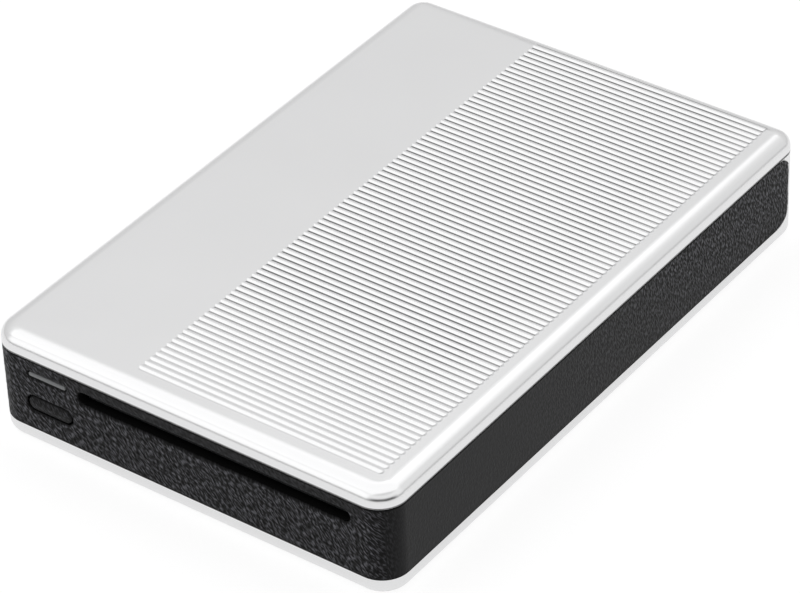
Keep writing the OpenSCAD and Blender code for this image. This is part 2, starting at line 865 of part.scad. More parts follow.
module inner_deck() {
    gate_t = 0.8;
    shell = 0.5;
    left = roller_gear_x - 4.6;
    right = plate_right + plate_t + 0.1 + shell;
    front = 2.7 - half_l;
    color("#36383b") difference() {
        union() {
            plan_prism(wall + 0.05, deck_z, wall_top);
            span([left, front, deck_z], [right, bay_front, platform_top]);
            for (at = concat(case_posts, [front_post])) {
                post(at, post_outer_r, deck_seat_z, deck_z + 0.1);
            }
            for (side = [-1, 1]) intersection() {
                magnet_pocket(side * magnet_x, wall_top - magnet_h - 0.6, wall_top);
                plan_prism(wall + 0.05, 0, body_h);
            }
            span(
                [bay_left + 0.2, bay_front - gate_t, path_z + 0.3],
                [bay_right - 0.2, bay_front, deck_z + 0.1]);
        }
        span(
            [left + shell, front + shell, deck_z - 6],
            [right - shell, bay_front - gate_t, platform_top - platform_t]);
        span([bay_left, bay_front, 0], [bay_right, bay_rear, body_h]);
        span(
            [bay_left - bay_wall - seat, bay_front, 0],
            [bay_right + bay_wall + seat, bay_rear + bay_wall + seat, deck_z]);
        for (at = concat(case_posts, [front_post])) {
            post(at, case_head_r + 0.2, wall_top - 0.1 - case_head_h, body_h);
            post(at, case_screw_r + 0.1, 0, body_h);
        }
        for (side = [-1, 1]) magnet_slot(side * magnet_x, wall_top - magnet_h, body_h);
    }
}

module deck_magnets() {
    color("dimgray") for (side = [-1, 1]) bar_magnet(side * magnet_x, wall_top - magnet_h);
}

module paper_tray() {
    t = bay_wall;
    low = tray_z - tray_t;
    color("#2e3033") difference() {
        union() {
            intersection() {
                plan_prism(wall + 0.3, low, tray_z);
                union() {
                    span([bay_left - t, bay_front, low], [half_w, half_l, tray_z]);
                    span([-half_w, motor_at[0] + motor_r + 2.4, low], [0, half_l, tray_z]);
                }
            }
            for (x = [bay_left - t, bay_right]) {
                span([x, bay_front, low], [x + t, bay_rear + t, deck_z]);
            }
            span([bay_left - t, bay_rear, low], [bay_right + t, bay_rear + t, deck_z]);
            for (at = case_posts) post(at, post_outer_r, low, deck_seat_z);
            for (i = [-1 : 1]) {
                x = path_x + i * 0.36 * paper_w;
                span([x - 0.5, pickup_at[0] + 8, low], [x + 0.5, bay_rear, tray_z + 0.3]);
            }
        }
        for (at = case_posts) post(at, case_screw_r + 0.1, 0, body_h);
        tyre_windows(pickup_at[0], pickup_r - 0.1, pickup_off);
        span(
            [bay_right + t + 0.1, bay_front - 1, 0],
            [half_w, pickup_at[0] + 7.5, body_h]);
        rod_x(pickup_at, flange_r + 0.2, plate_left - 1, plate_left + flange_t + 0.1);
        rod_x(pickup_at, flange_r + 0.2, plate_right - flange_t - 0.1, plate_right + 1);
    }
}

module case_screws() {
    color("silver") for (at = concat(case_posts, [front_post])) {
        screw(at, wall_top - 0.1, case_head_r, case_head_h, case_screw_r, case_screw_l);
    }
}

// ----------------------------------------------------------- print engine

// Side plate of the engine frame, seen along X
module plate_outline(rear) {
    low = base_z;
    translate([frame_front, low]) {
        square([bay_front - 1.6 - frame_front, plate_top - low]);
    }
    translate([frame_front, low]) square([rear - frame_front, tray_z - tray_t - 0.3 - low]);
}

// Lightening windows in the frame's base, in two rows of three
module base_windows() {
    count = 3;
    step = (engine_w - 10) / count;
    depth = (platen_at[0] - frame_front) * 0.66;
    for (i = [0 : count - 1], y = [frame_front + 7, platen_at[0] + 6.9]) {
        x = plate_left + 5 + (i + 0.14) * step;
        span([x, y, 0], [x + 0.72 * step, y + depth, base_z + base_t + 1]);
    }
}

module engine_frame() {
    rears = [plate_rear, frame_rear];
    lefts = [plate_left - plate_t, plate_right];
    color("lightslategray") difference() {
        union() {
            for (i = [0, 1]) along_x(lefts[i], lefts[i] + plate_t) plate_outline(rears[i]);
            span(
                [plate_left - plate_t, frame_front, base_z],
                [plate_right + plate_t, rears[1], base_z + base_t]);
            for (x = [plate_left, plate_right - 2.6]) {
                y = pivot_at[0] + spring_back;
                span([x, y - 1.2, spring_z - 0.8], [x + 2.6, y + 1.2, spring_z]);
            }
            for (at = [link_at, exit_idler_at]) {
                rod_x(at, post_r, roller_gear_x - 0.15, plate_left - plate_t + 0.1);
            }
            rod_x(link_at, post_r, link_gear_x - 0.1, plate_left - plate_t);
        }
        for (at = [platen_at, pickup_at, exit_at]) {
            rod_x(at, bush_r + seat, -half_w, half_w);
        }
        for (at = [pivot_at, pinch_at]) rod_x(at, pinch_shaft_r + seat, -half_w, half_w);
        for (at = engine_screw_at) post(at, 0.8, 0, base_z + base_t + 1);
        base_windows();
        for (at = [[-6.8, 2.3 - platen_r], [7.2, 3.1 - platen_r]]) {
            rod_x(platen_at + at - [0, 2.6], 1.6, plate_right - 1, half_w);
        }
    }
}

module engine_screws() {
    color("silver") for (at = engine_screw_at) {
        screw(at, base_z + base_t + 0.6, 1.4, 0.6, 0.7, 1.9);
    }
}

// Bushes at both plates, with a flange on the inner side
module bush_pair(at) {
    color("ivory") for (side = [0, 1]) {
        inner = side == 0 ? plate_left : plate_right;
        outer = inner + (side == 0 ? -plate_t : plate_t);
        face = inner + (side == 0 ? flange_t : -flange_t);
        difference() {
            union() {
                rod_x(at, bush_r, min(inner, outer), max(inner, outer));
                rod_x(at, flange_r, min(inner, face), max(inner, face));
            }
            rod_x(at, shaft_r + running, -half_w, half_w);
        }
    }
}

module platen_bushes() bush_pair(platen_at);
module pickup_bushes() bush_pair(pickup_at);
module exit_bushes() bush_pair(exit_at);

// Steel shaft with a clip groove near its right end
module roller_shaft(at) {
    color("silver") difference() {
        rod_x(at, shaft_r, roller_gear_x - 0.1, plate_right + plate_t + 1.3);
        ring_x(at, shaft_r + 1, shaft_r - 0.35,
            plate_right + plate_t + 0.35, plate_right + plate_t + 0.75);
    }
}

module platen_shaft() roller_shaft(platen_at);
module pickup_shaft() roller_shaft(pickup_at);
module exit_shaft() roller_shaft(exit_at);

module platen_rubber() {
    w = paper_w + 0.6;
    color("#3a3a3a") ring_x(platen_at, platen_r, shaft_r + 0.01, path_x - w / 2, path_x + w / 2);
}

// Two tyres on one shaft, each off from the path's middle
module tyre_pair(at, r, bore, off) {
    for (side = [-1, 1]) {
        x = path_x + side * off;
        ring_x(at, r, bore, x - tyre_w / 2, x + tyre_w / 2);
    }
}

module pickup_tyres() {
    color("#8a8f94") tyre_pair(pickup_at, pickup_r, shaft_r + 0.01, pickup_off);
}

module exit_tyres() {
    color("#3f4245") tyre_pair(exit_at, exit_r, shaft_r + 0.01, exit_off);
}

module pinch_shaft() {
    color("silver") rod_x(pinch_at, pinch_shaft_r, plate_left - plate_t, plate_right + plate_t);
}

module pinch_rollers() {
    color("whitesmoke") tyre_pair(pinch_at, pinch_r, pinch_shaft_r + running, exit_off);
}

// Cut-outs for a pair of tyres, from y - half to y + half
module tyre_windows(y, half, off) {
    for (side = [-1, 1]) {
        x = path_x + side * off;
        span([x - tyre_w / 2 - 0.5, y - half, 0], [x + tyre_w / 2 + 0.5, y + half, body_h]);
    }
}

module lower_guide() {
    top = path_z - 0.6;
    low = top - 0.8;
    window = 3.8;
    color("#26282a") difference() {
        span(
            [plate_left + flange_t + 0.1, 2.05 - half_l, low],
            [plate_right - flange_t - 0.1, bay_front - 0.4, top]);
        span(
            [path_x - paper_w / 2 - 0.8, platen_at[0] - window, 0],
            [path_x + paper_w / 2 + 0.8, platen_at[0] + window, body_h]);
        tyre_windows(exit_at[0], exit_r + 0.2, exit_off);
        span(
            [lever_x - 1, lever_at[0] - 2.6, 0],
            [lever_x + 1, lever_at[0] + 2.2, body_h]);
        for (x = [plate_left + 0.1, plate_right - 2.8]) {
            span([x, pivot_at[0] + 1.1, 0], [x + 2.7, pivot_at[0] + 3.9, body_h]);
        }
    }
    color("#26282a") for (side = [-1, 1]) {
        x = lever_x + side * 1.7;
        difference() {
            union() {
                rod_x(lever_at, 1.1, x - 0.5, x + 0.5);
                span(
                    [x - 0.5, lever_at[0] - 1.1, lever_at[1]],
                    [x + 0.5, lever_at[0] + 1.1, low + 0.1]);
            }
            rod_x(lever_at, 0.5 + seat, x - 2, x + 2);
        }
    }
}

module upper_guide() {
    low = path_z + 0.4;
    color("darkgray") difference() {
        span(
            [plate_left + 0.2, 2.05 - half_l, low],
            [plate_right - 0.2, exit_at[0] + 5.7, low + 0.5]);
        tyre_windows(exit_at[0], pinch_r + 0.4, exit_off);
    }
}

module thermal_head() {
    low = path_z + head_gap;
    color("#d9d2c0") span(
        [path_x - head_w / 2, platen_at[0] - 5, low],
        [path_x + head_w / 2, platen_at[0] + 5, low + 0.8]);
}

module heat_sink() {
    low = path_z + head_gap + 0.8;
    color("silver") difference() {
        span(
            [path_x - head_w / 2, platen_at[0] - head_front, low],
            [path_x + head_w / 2, platen_at[0] + head_rear, low + 2.2]);
        for (i = [0 : 3]) {
            y = platen_at[0] - 4.2 + i * 2.9;
            x = head_w / 2 - 4.3;
            span([path_x - x, y, low + 1], [path_x + x, y + 1.3, low + 3]);
        }
    }
}

module head_bracket() {
    low = path_z + head_gap + 3;
    t = 0.6;
    color("lightslategray") difference() {
        union() {
            span(
                [path_x - head_w / 2, platen_at[0] - head_front, low],
                [path_x + head_w / 2, platen_at[0] + head_rear, low + t]);
            for (side = [-1, 1]) {
                x = path_x + side * arm_x;
                back = platen_at[0] + head_rear;
                span([x - 1, back - 1.2, low], [x + 1, pivot_at[0] + 3.3, low + t]);
                span([x - 1, back + 0.1, low - 0.7], [x + 1, pivot_at[0] + 3.3, low + t]);
                rod_x(pivot_at, 1.3, x - 1, x + 1);
            }
        }
        rod_x(pivot_at, pinch_shaft_r + running, -half_w, half_w);
        for (i = [-1 : 1]) {
            x = path_x + i * 0.3 * head_w;
            span([x - 5, platen_at[0] - 3, 0], [x + 5, platen_at[0] + 4, body_h]);
        }
    }
}

module head_pivot_rod() {
    color("silver") rod_x(pivot_at, pinch_shaft_r, plate_left - plate_t, plate_right + plate_t);
}

module head_springs() {
    color("lightsteelblue") for (side = [-1, 1]) {
        coil_spring(
            [path_x + side * arm_x, pivot_at[0] + spring_back],
            spring_z, path_z + head_gap + 2.3, 0.8, 0.18, 8);
    }
}

// ------------------------------------------------------------------ drive

module platen_gear() {
    color("ivory") gear_wheel(platen_at, platen_teeth, gear_module,
        roller_gear_x, roller_gear_w, platen_phase, shaft_r + 0.01);
}

module pickup_gear() {
    color("ivory") gear_wheel(pickup_at, pickup_teeth, gear_module,
        roller_gear_x, roller_gear_w, pickup_phase, shaft_r + 0.01);
}

module exit_gear() {
    color("ivory") gear_wheel(exit_at, exit_teeth, gear_module,
        roller_gear_x, roller_gear_w, exit_phase, shaft_r + 0.01);
}

module exit_idler_gear() {
    color("ivory") gear_wheel(exit_idler_at, exit_idler_teeth, gear_module,
        roller_gear_x, roller_gear_w, exit_idler_phase, post_r + running);
}

// Two-step gear that drives the platen and the pick-up roller
module link_gear() {
    bore = post_r + running;
    color("antiquewhite") {
        gear_wheel(link_at, link_teeth, gear_module,
            roller_gear_x, roller_gear_w, link_phase, bore);
        ring_x(link_at, 1.8, bore, link_gear_x + fine_gear_w - 0.1, roller_gear_x + 0.1);
        gear_wheel(link_at, link_big_teeth, fine_module,
            link_gear_x, fine_gear_w, link_phase, bore);
    }
}

// Two-step gear between the motor and the link gear
module step_gear() {
    bore = post_r + running;
    color("antiquewhite") {
        gear_wheel(step_at, step_teeth, fine_module,
            link_gear_x, fine_gear_w, step_phase, bore);
        ring_x(step_at, 1.4, bore, step_gear_x + motor_gear_w - 0.1, link_gear_x + 0.1);
        gear_wheel(step_at, step_big_teeth, fine_module,
            step_gear_x, motor_gear_w, step_phase, bore);
    }
}

module motor_pinion() {
    color("goldenrod") gear_wheel(motor_at, pinion_teeth, fine_module,
        step_gear_x, motor_gear_w, pinion_phase, motor_shaft_r + 0.01);
}

module motor_shaft() {
    color("silver") rod_x(motor_at, motor_shaft_r, bracket_x - 1.5, step_gear_x + motor_gear_w);
}

module motor_can() {
    color("darkgray") difference() {
        union() {
            rod_x(motor_at, motor_r, bracket_x - motor_l, bracket_x);
            rod_x(motor_at, 2, bracket_x - 0.1, bracket_x + bracket_t);
        }
        rod_x(motor_at, motor_shaft_r + running, bracket_x - 2, bracket_x + 2);
    }
}

module motor_bracket() {
    color("lightslategray") difference() {
        union() {
            along_x(bracket_x, bracket_x + bracket_t) {
                low = bracket_step;
                translate([bracket_front, low]) {
                    square([bracket_rear - bracket_front, deck_z - 0.5 - low]);
                }
                translate([step_at[0] - 3, bracket_low]) {
                    square([bracket_rear - step_at[0] + 3, low + 1 - bracket_low]);
                }
            }
            for (at = spacers) rod_x(at, spacer_r, bracket_x + 0.1, plate_left - plate_t);
            rod_x(step_at, post_r, bracket_x + 0.1, link_gear_x + fine_gear_w - 0.05);
        }
        rod_x(motor_at, 2 + seat, bracket_x - 1, bracket_x + bracket_t + 1);
        rod_x([link_at[0] + 1.5, 12.5], 1.5, bracket_x - 1, bracket_x + bracket_t + 1);
    }
}

// ---------------------------------------------------------- paper sensor

module sensor_lever() {
    color("#1f2022") difference() {
        union() {
            rod_x(lever_at, 1.1, lever_x - 1, lever_x + 1);
            span(
                [lever_x - 0.4, lever_at[0] - 0.1, lever_at[1]],
                [lever_x + 0.4, lever_at[0] + 1.1, path_z + 0.7]);
            span(
                [lever_x - 0.4, lever_at[0] - 1.1, lever_at[1] - 4.2],
                [lever_x + 0.4, lever_at[0] + 0.3, lever_at[1]]);
        }
        rod_x(lever_at, 0.5 + running, lever_x - 2, lever_x + 2);
    }
}

module sensor_pin() {
    color("silver") rod_x(lever_at, 0.5, lever_x - 2.2, lever_x + 2.2);
}

// Light barrier whose gap the lever's tail swings through
module paper_sensor() {
    low = base_z + base_t;
    color("#17181a") difference() {
        span(
            [lever_x - 2.6, lever_at[0] - 3.6, low],
            [lever_x + 2.6, lever_at[0] + 3.6, lever_at[1] - 2.2]);
        span([lever_x - 1, lever_at[0] - 5, low + 1.2], [lever_x + 1, lever_at[0] + 5, body_h]);
    }
}

// ------------------------------------------------------------ electronics

// Flat pouch with round long edges
module battery() {
    x = battery_x + battery_w / 2;
    z = floor_t + 0.05 + battery_t / 2;
    color("#b9bec4") {
        stadium_y(x, z, battery_w, battery_t, battery_y, battery_y + battery_l);
    }
}

module main_board() {
    color("darkgreen") difference() {
        span(
            [board_x, board_front, board_z],
            [board_x + board_w, board_rear, board_z + board_t]);
        for (at = board_posts) post(at, 0.7, 0, body_h);
    }
}

module shield_can() {
    z = board_z + board_t;
    h = 1.8;
    half = shield_l / 2;
    inner = half - shield_t;
    y = shield_front + half;
    color("silver") difference() {
        span([usb_x - half, y - half, z], [usb_x + half, y + half, z + h]);
        span([usb_x - inner, y - inner, z - 1], [usb_x + inner, y + inner, z + h - shield_t]);
    }
}

// Chip, connector or capacitor as a block of a size
module chip(at, size) {
    translate(at) cube(size);
}

// Chips, connectors and capacitors along the board
module board_chips() {
    z = board_z + board_t;
    color("#1c1d1f") {
        chip([usb_x - 8, chip_front, z], [7, 7, 1]);
        chip([usb_x + 2, chip_front + 1, z], [5, 4, 0.9]);
        chip([usb_x - 3.5, shield_front + 4, z], [7, 7, 1]);
        chip([board_x + 0.6, shield_front + 6, z], [3, 8, 2.2]);
        chip([usb_x - 5, board_front + 1, z], [10, 3.4, 1.8]);
        for (i = [0 : 4]) {
            chip([usb_x - 8, shield_front + shield_l + 3 + i * 2.4, z], [2, 1.2, 0.7]);
        }
    }
}

module board_screws() {
    color("silver") for (at = board_posts) {
        screw(at, board_z + board_t + 0.5, 1.2, 0.5, 0.6, 3);
    }
}

// Receptacle shell with its tongue
module usb_socket() {
    rear = half_l - usb_recess;
    shell_t = 0.3;
    color("silver") {
        difference() {
            stadium_y(usb_x, usb_z, usb_w, usb_h, rear - usb_l, rear);
            stadium_y(usb_x, usb_z, usb_w - 2 * shell_t, usb_h - 2 * shell_t,
                rear - usb_l + 1, rear + 1);
        }
        span(
            [usb_x - 3.3, rear - usb_l + 0.5, usb_z - 0.35],
            [usb_x + 3.3, rear - 0.8, usb_z + 0.35]);
    }
}

module key_board() {
    color("darkgreen") span(
        [key_board_x, key_board_y, key_board_z],
        [key_board_x + key_board_w, key_board_y + board_t, key_board_z + key_board_h]);
}

module power_switch() {
    color("#2a2a2a") difference() {
        span(
            [switch_x - 2.25, switch_y, button_z - 1.75],
            [switch_x + 2.25, key_board_y, button_z + 1.75]);
        rod_y(switch_x, button_z, 0.95, switch_y - 1, key_board_y - 0.2);
    }
}

module switch_stem() {
    color("whitesmoke") rod_y(switch_x, button_z, 0.85, stem_front, switch_y + 0.5);
}

module power_button() {
    face_l = button_l - 2 * slip;
    face_h = button_h - 2 * slip;
    color("#2c2c2e") {
        stadium_y(-button_x, button_z, face_l, face_h, -half_l, button_back + 0.1);
        stadium_y(-button_x, button_z, button_l + 1, button_h + 1, button_back, stem_front);
    }
}

module light_guide() {
    color("#e8edf2") stadium_y(-button_x, light_z, light_l, light_h, -half_l, key_board_y - 0.6);
}

module status_leds() {
    color("white") for (x = [0, 3]) {
        x0 = -button_x - 3.4 + x;
        span([x0, key_board_y - 0.55, light_z - 0.5], [x0 + 1.6, key_board_y, light_z + 0.5]);
    }
}

// ---------------------------------------------------------------- drawing

top_cover();
cover_liner();
pressure_plate();
pressure_pin();
pressure_springs();
cover_magnets();
hinge_pins();
lower_housing();
leather_band();
inner_deck();
deck_magnets();
paper_tray();
case_screws();
engine_frame();
engine_screws();
lower_guide();
upper_guide();
platen_shaft();
platen_rubber();
platen_gear();
platen_bushes();
pickup_shaft();
pickup_tyres();
pickup_gear();
pickup_bushes();
exit_shaft();
exit_tyres();
exit_gear();
exit_bushes();
exit_idler_gear();
pinch_shaft();
pinch_rollers();
thermal_head();
heat_sink();
head_bracket();
head_pivot_rod();
head_springs();
link_gear();
step_gear();
motor_pinion();
motor_shaft();
motor_can();
motor_bracket();
sensor_lever();
sensor_pin();
paper_sensor();
battery();
main_board();
shield_can();
board_chips();
board_screws();
usb_socket();
key_board();
power_switch();
switch_stem();
power_button();
light_guide();
status_leds();
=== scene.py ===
"""Looks of a compact photo printer: satin silver cover with ribs, grained leather band, studio and camera."""

import json
import logging
import math
from dataclasses import dataclass
from enum import Enum
from typing import Union

import bmesh
import bpy
import numpy as np
from mathutils import Matrix, Vector

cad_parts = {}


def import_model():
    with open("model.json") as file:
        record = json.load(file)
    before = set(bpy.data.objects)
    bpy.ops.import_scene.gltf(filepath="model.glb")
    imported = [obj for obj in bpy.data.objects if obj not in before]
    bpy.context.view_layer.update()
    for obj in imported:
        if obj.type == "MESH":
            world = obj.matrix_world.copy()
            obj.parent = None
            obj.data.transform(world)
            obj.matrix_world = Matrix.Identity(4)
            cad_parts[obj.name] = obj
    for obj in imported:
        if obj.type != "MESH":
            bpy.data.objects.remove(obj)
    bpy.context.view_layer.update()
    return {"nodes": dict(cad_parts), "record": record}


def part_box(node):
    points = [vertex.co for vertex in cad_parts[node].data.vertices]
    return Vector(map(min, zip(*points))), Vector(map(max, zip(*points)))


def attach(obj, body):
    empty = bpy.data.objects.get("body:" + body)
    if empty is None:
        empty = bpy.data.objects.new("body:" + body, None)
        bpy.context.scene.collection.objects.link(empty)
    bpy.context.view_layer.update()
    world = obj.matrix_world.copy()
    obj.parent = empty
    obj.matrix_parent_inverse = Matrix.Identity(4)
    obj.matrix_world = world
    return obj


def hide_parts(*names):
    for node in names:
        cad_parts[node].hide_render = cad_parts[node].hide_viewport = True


LOG = logging.getLogger("photo_printer")
MM = 0.001
PHOTO_WIDTH_PX = 800
EDGE_STEPS = np.array([0.0, 0.03, 0.09, 0.18])
EDGE_MM = 0.3

Number = Union[float, int]
Colour = tuple[float, float, float]
Span = tuple[float, float]


class Slot(str, Enum):
    """The record's material slots."""

    SILVER = "silver_satin"
    LEATHER = "leather_black"
    LINER = "liner_black"
    INNER = "inner_black"
    STEEL = "steel_bright"
    SPRING = "spring_steel"
    SHEET = "steel_sheet"
    ALUMINIUM = "aluminium_raw"
    MAGNET = "magnet_grey"
    RUBBER = "rubber_black"
    TYRE = "rubber_grey"
    GEAR = "gear_ivory"
    CERAMIC = "ceramic"
    BRASS = "brass_pinion"
    FOIL = "battery_foil"
    BOARD = "board_green"
    CHIP = "chip_black"
    LIGHT = "light_diffuser"
    LED = "led_white"


class Body(str, Enum):
    """The bodies that new pieces ride on."""

    HOUSING = "housing"
    BUTTON = "button"


# ------------------------------------------------------------------ shaders


class Sock:
    """A shader socket that takes part in Python arithmetic."""

    def __init__(self, graph: "Graph", socket: bpy.types.NodeSocket) -> None:
        """Keeps an output socket and the graph that makes the nodes fed by it."""
        self.graph = graph
        self.socket = socket

    def __add__(self, other: "Term") -> "Sock":
        """Sum."""
        return self.graph.math("ADD", self, other)

    def __sub__(self, other: "Term") -> "Sock":
        """Difference."""
        return self.graph.math("SUBTRACT", self, other)

    def __rsub__(self, other: Number) -> "Sock":
        """A number minus this socket."""
        return self.graph.math("SUBTRACT", other, self)

    def __mul__(self, other: "Term") -> "Sock":
        """Product."""
        return self.graph.math("MULTIPLY", self, other)

    def __pow__(self, other: "Term") -> "Sock":
        """Power."""
        return self.graph.math("POWER", self, other)

    def above(self, edge: Number) -> "Sock":
        """1 where this socket is over edge, else 0."""
        return self.graph.math("GREATER_THAN", self, edge)

    def clamped(self) -> "Sock":
        """This socket held between 0 and 1."""
        return self.graph.math("ADD", self, 0.0, use_clamp=True)


Term = Union[Sock, Number]


class Graph:
    """The node tree of one material or world."""

    def __init__(self, tree: bpy.types.NodeTree) -> None:
        """Empties the tree that is to be filled."""
        self.tree = tree
        tree.nodes.clear()

    def node(self, kind: str, settings: dict | None = None, inputs: dict | None = None) -> bpy.types.Node:
        """Adds a node, sets it up and then feeds its sockets.

        Args:
            kind: The node's type, such as ShaderNodeTexNoise.
            settings: Properties of the node, or stops of a ramp under "stops".
            inputs: Values or links for the sockets, by name or place.

        Returns:
            The new node.
        """
        made = self.tree.nodes.new(kind)
        for key, value in (settings or {}).items():
            if key == "stops":
                self._stops(made, value)
            else:
                setattr(made, key, value)
        for key, value in (inputs or {}).items():
            self.feed(made.inputs[key], value)
        return made

    def _stops(self, ramp: bpy.types.Node, stops: list[tuple[float, Colour]]) -> None:
        """Sets a colour ramp's stops.

        Args:
            ramp: The ramp node.
            stops: Places from 0 to 1 with their colours, in order.
        """
        elements = ramp.color_ramp.elements
        while len(elements) < len(stops):
            elements.new(1.0)
        for element, (place, colour) in zip(elements, stops):
            element.position = place
            element.color = (*colour, 1.0)

    def feed(self, socket: bpy.types.NodeSocket, value: object) -> None:
        """Links or sets one input socket.

        Args:
            socket: The input socket.
            value: A Sock to link, a number, or a colour or vector of three numbers.
        """
        if isinstance(value, Sock):
            self.tree.links.new(value.socket, socket)
        elif isinstance(value, tuple) and socket.type == "RGBA":
            socket.default_value = (*value, 1.0)
        else:
            socket.default_value = value

    def out(self, node: bpy.types.Node, name: Union[str, int] = 0) -> Sock:
        """An output socket of a node, ready for arithmetic."""
        return Sock(self, node.outputs[name])

    def math(self, operation: str, a: Term, b: Term, use_clamp: bool = False) -> Sock:
        """One Math node on two values, held between 0 and 1 where use_clamp says so."""
        settings = {"operation": operation, "use_clamp": use_clamp}
        return self.out(self.node("ShaderNodeMath", settings, {0: a, 1: b}))

    def object_place(self, stretch: Colour = (1.0, 1.0, 1.0), turn: Colour = (0.0, 0.0, 0.0)) -> Sock:
        """Object coordinates in millimetres, stretched and turned.

        Args:
            stretch: Scale along each axis after the change to millimetres.
            turn: Turn about each axis in radians.

        Returns:
            The vector.
        """
        place = self.out(self.node("ShaderNodeTexCoord"), "Object")
        scale = tuple(s / MM for s in stretch)
        mapped = self.node("ShaderNodeMapping", None, {"Vector": place, "Rotation": turn, "Scale": scale})
        return self.out(mapped)

    def noise(self, place: Sock, scale: float, detail: float = 2.0, roughness: float = 0.5) -> Sock:
        """Smooth noise from 0 to 1, with scale bumps for each unit of place, and finer layers by their weight."""
        inputs = {"Vector": place, "Scale": scale, "Detail": detail, "Roughness": roughness}
        return self.out(self.node("ShaderNodeTexNoise", None, inputs), 0)

    def cells(self, place: Sock, scale: float, feature: str = "F1") -> Sock:
        """Distance inside a pattern of cells."""
        settings = {"feature": feature}
        return self.out(self.node("ShaderNodeTexVoronoi", settings, {"Vector": place, "Scale": scale}), "Distance")

    def attribute(self, name: str) -> Sock:
        """A number stored on the mesh."""
        return self.out(self.node("ShaderNodeAttribute", {"attribute_name": name}), "Fac")

    def between(self, value: Sock, low: float, high: float, soft: float) -> Sock:
        """1 between low and high, fading to 0 over soft on either side."""
        over, under = (value - low) * (1.0 / soft) + 1.0, (high - value) * (1.0 / soft) + 1.0
        return over.clamped() * under.clamped()

    def parts(self, place: Sock) -> tuple[Sock, ...]:
        """X, Y and Z of a vector."""
        split = self.node("ShaderNodeSeparateXYZ", None, {0: place})
        return tuple(self.out(split, name) for name in "XYZ")

    def blend(self, mask: Term, low: Union[Sock, Colour], high: Union[Sock, Colour]) -> Sock:
        """The colour low where the mask is 0, high where it is 1, and a mix between."""
        return self.out(self.node("ShaderNodeMix", {"data_type": "RGBA"}, {0: mask, 6: low, 7: high}), 2)

    def bump(self, height: Sock, distance_mm: float, strength: float = 1.0) -> Sock:
        """Normal from a height of 0 to 1, which stands for distance_mm, and the share of it that is used."""
        inputs = {"Strength": strength, "Distance": distance_mm * MM, "Height": height}
        return self.out(self.node("ShaderNodeBump", None, inputs))


def shade(colour: Colour, factor: float) -> Colour:
    """A colour made darker or lighter by a factor."""
    return tuple(min(1.0, c * factor) for c in colour)


@dataclass(frozen=True)
class Finish:
    """What all finishes share: a principled surface with constant and varying parts."""

    colour: Colour = (0.5, 0.5, 0.5)
    roughness: float = 0.5
    metallic: float = 0.0

    def varying(self, graph: Graph) -> dict:
        """Values that change over the surface, by socket name."""
        raise NotImplementedError

    def surface(self, graph: Graph, tone: Sock, span: Span, gloss: Sock, less: float, normal: Sock) -> dict:
        """Links for colour, roughness and normal.

        Args:
            graph: The material's graph.
            tone: 0 for the darkest shade and 1 for the lightest.
            span: Factors that make those two shades from the colour.
            gloss: What the pattern adds to the roughness.
            less: What comes off the roughness in turn.
            normal: The bumped normal.

        Returns:
            Links for the principled shader.
        """
        return {
            "Base Color": graph.blend(tone, shade(self.colour, span[0]), shade(self.colour, span[1])),
            "Roughness": gloss + (self.roughness - less),
            "Normal": normal,
        }

    def constant(self) -> dict:
        """Values that are the same all over, by socket name."""
        return {"Metallic": self.metallic}

    def build(self, name: str) -> bpy.types.Material:
        """Makes the material.

        Args:
            name: The material's name.

        Returns:
            The material.
        """
        material = bpy.data.materials.new(name)
        material.use_nodes = True
        graph = Graph(material.node_tree)
        shader = graph.node("ShaderNodeBsdfPrincipled", None, {**self.constant(), **self.varying(graph)})
        graph.node("ShaderNodeOutputMaterial", None, {"Surface": graph.out(shader)})
        return material


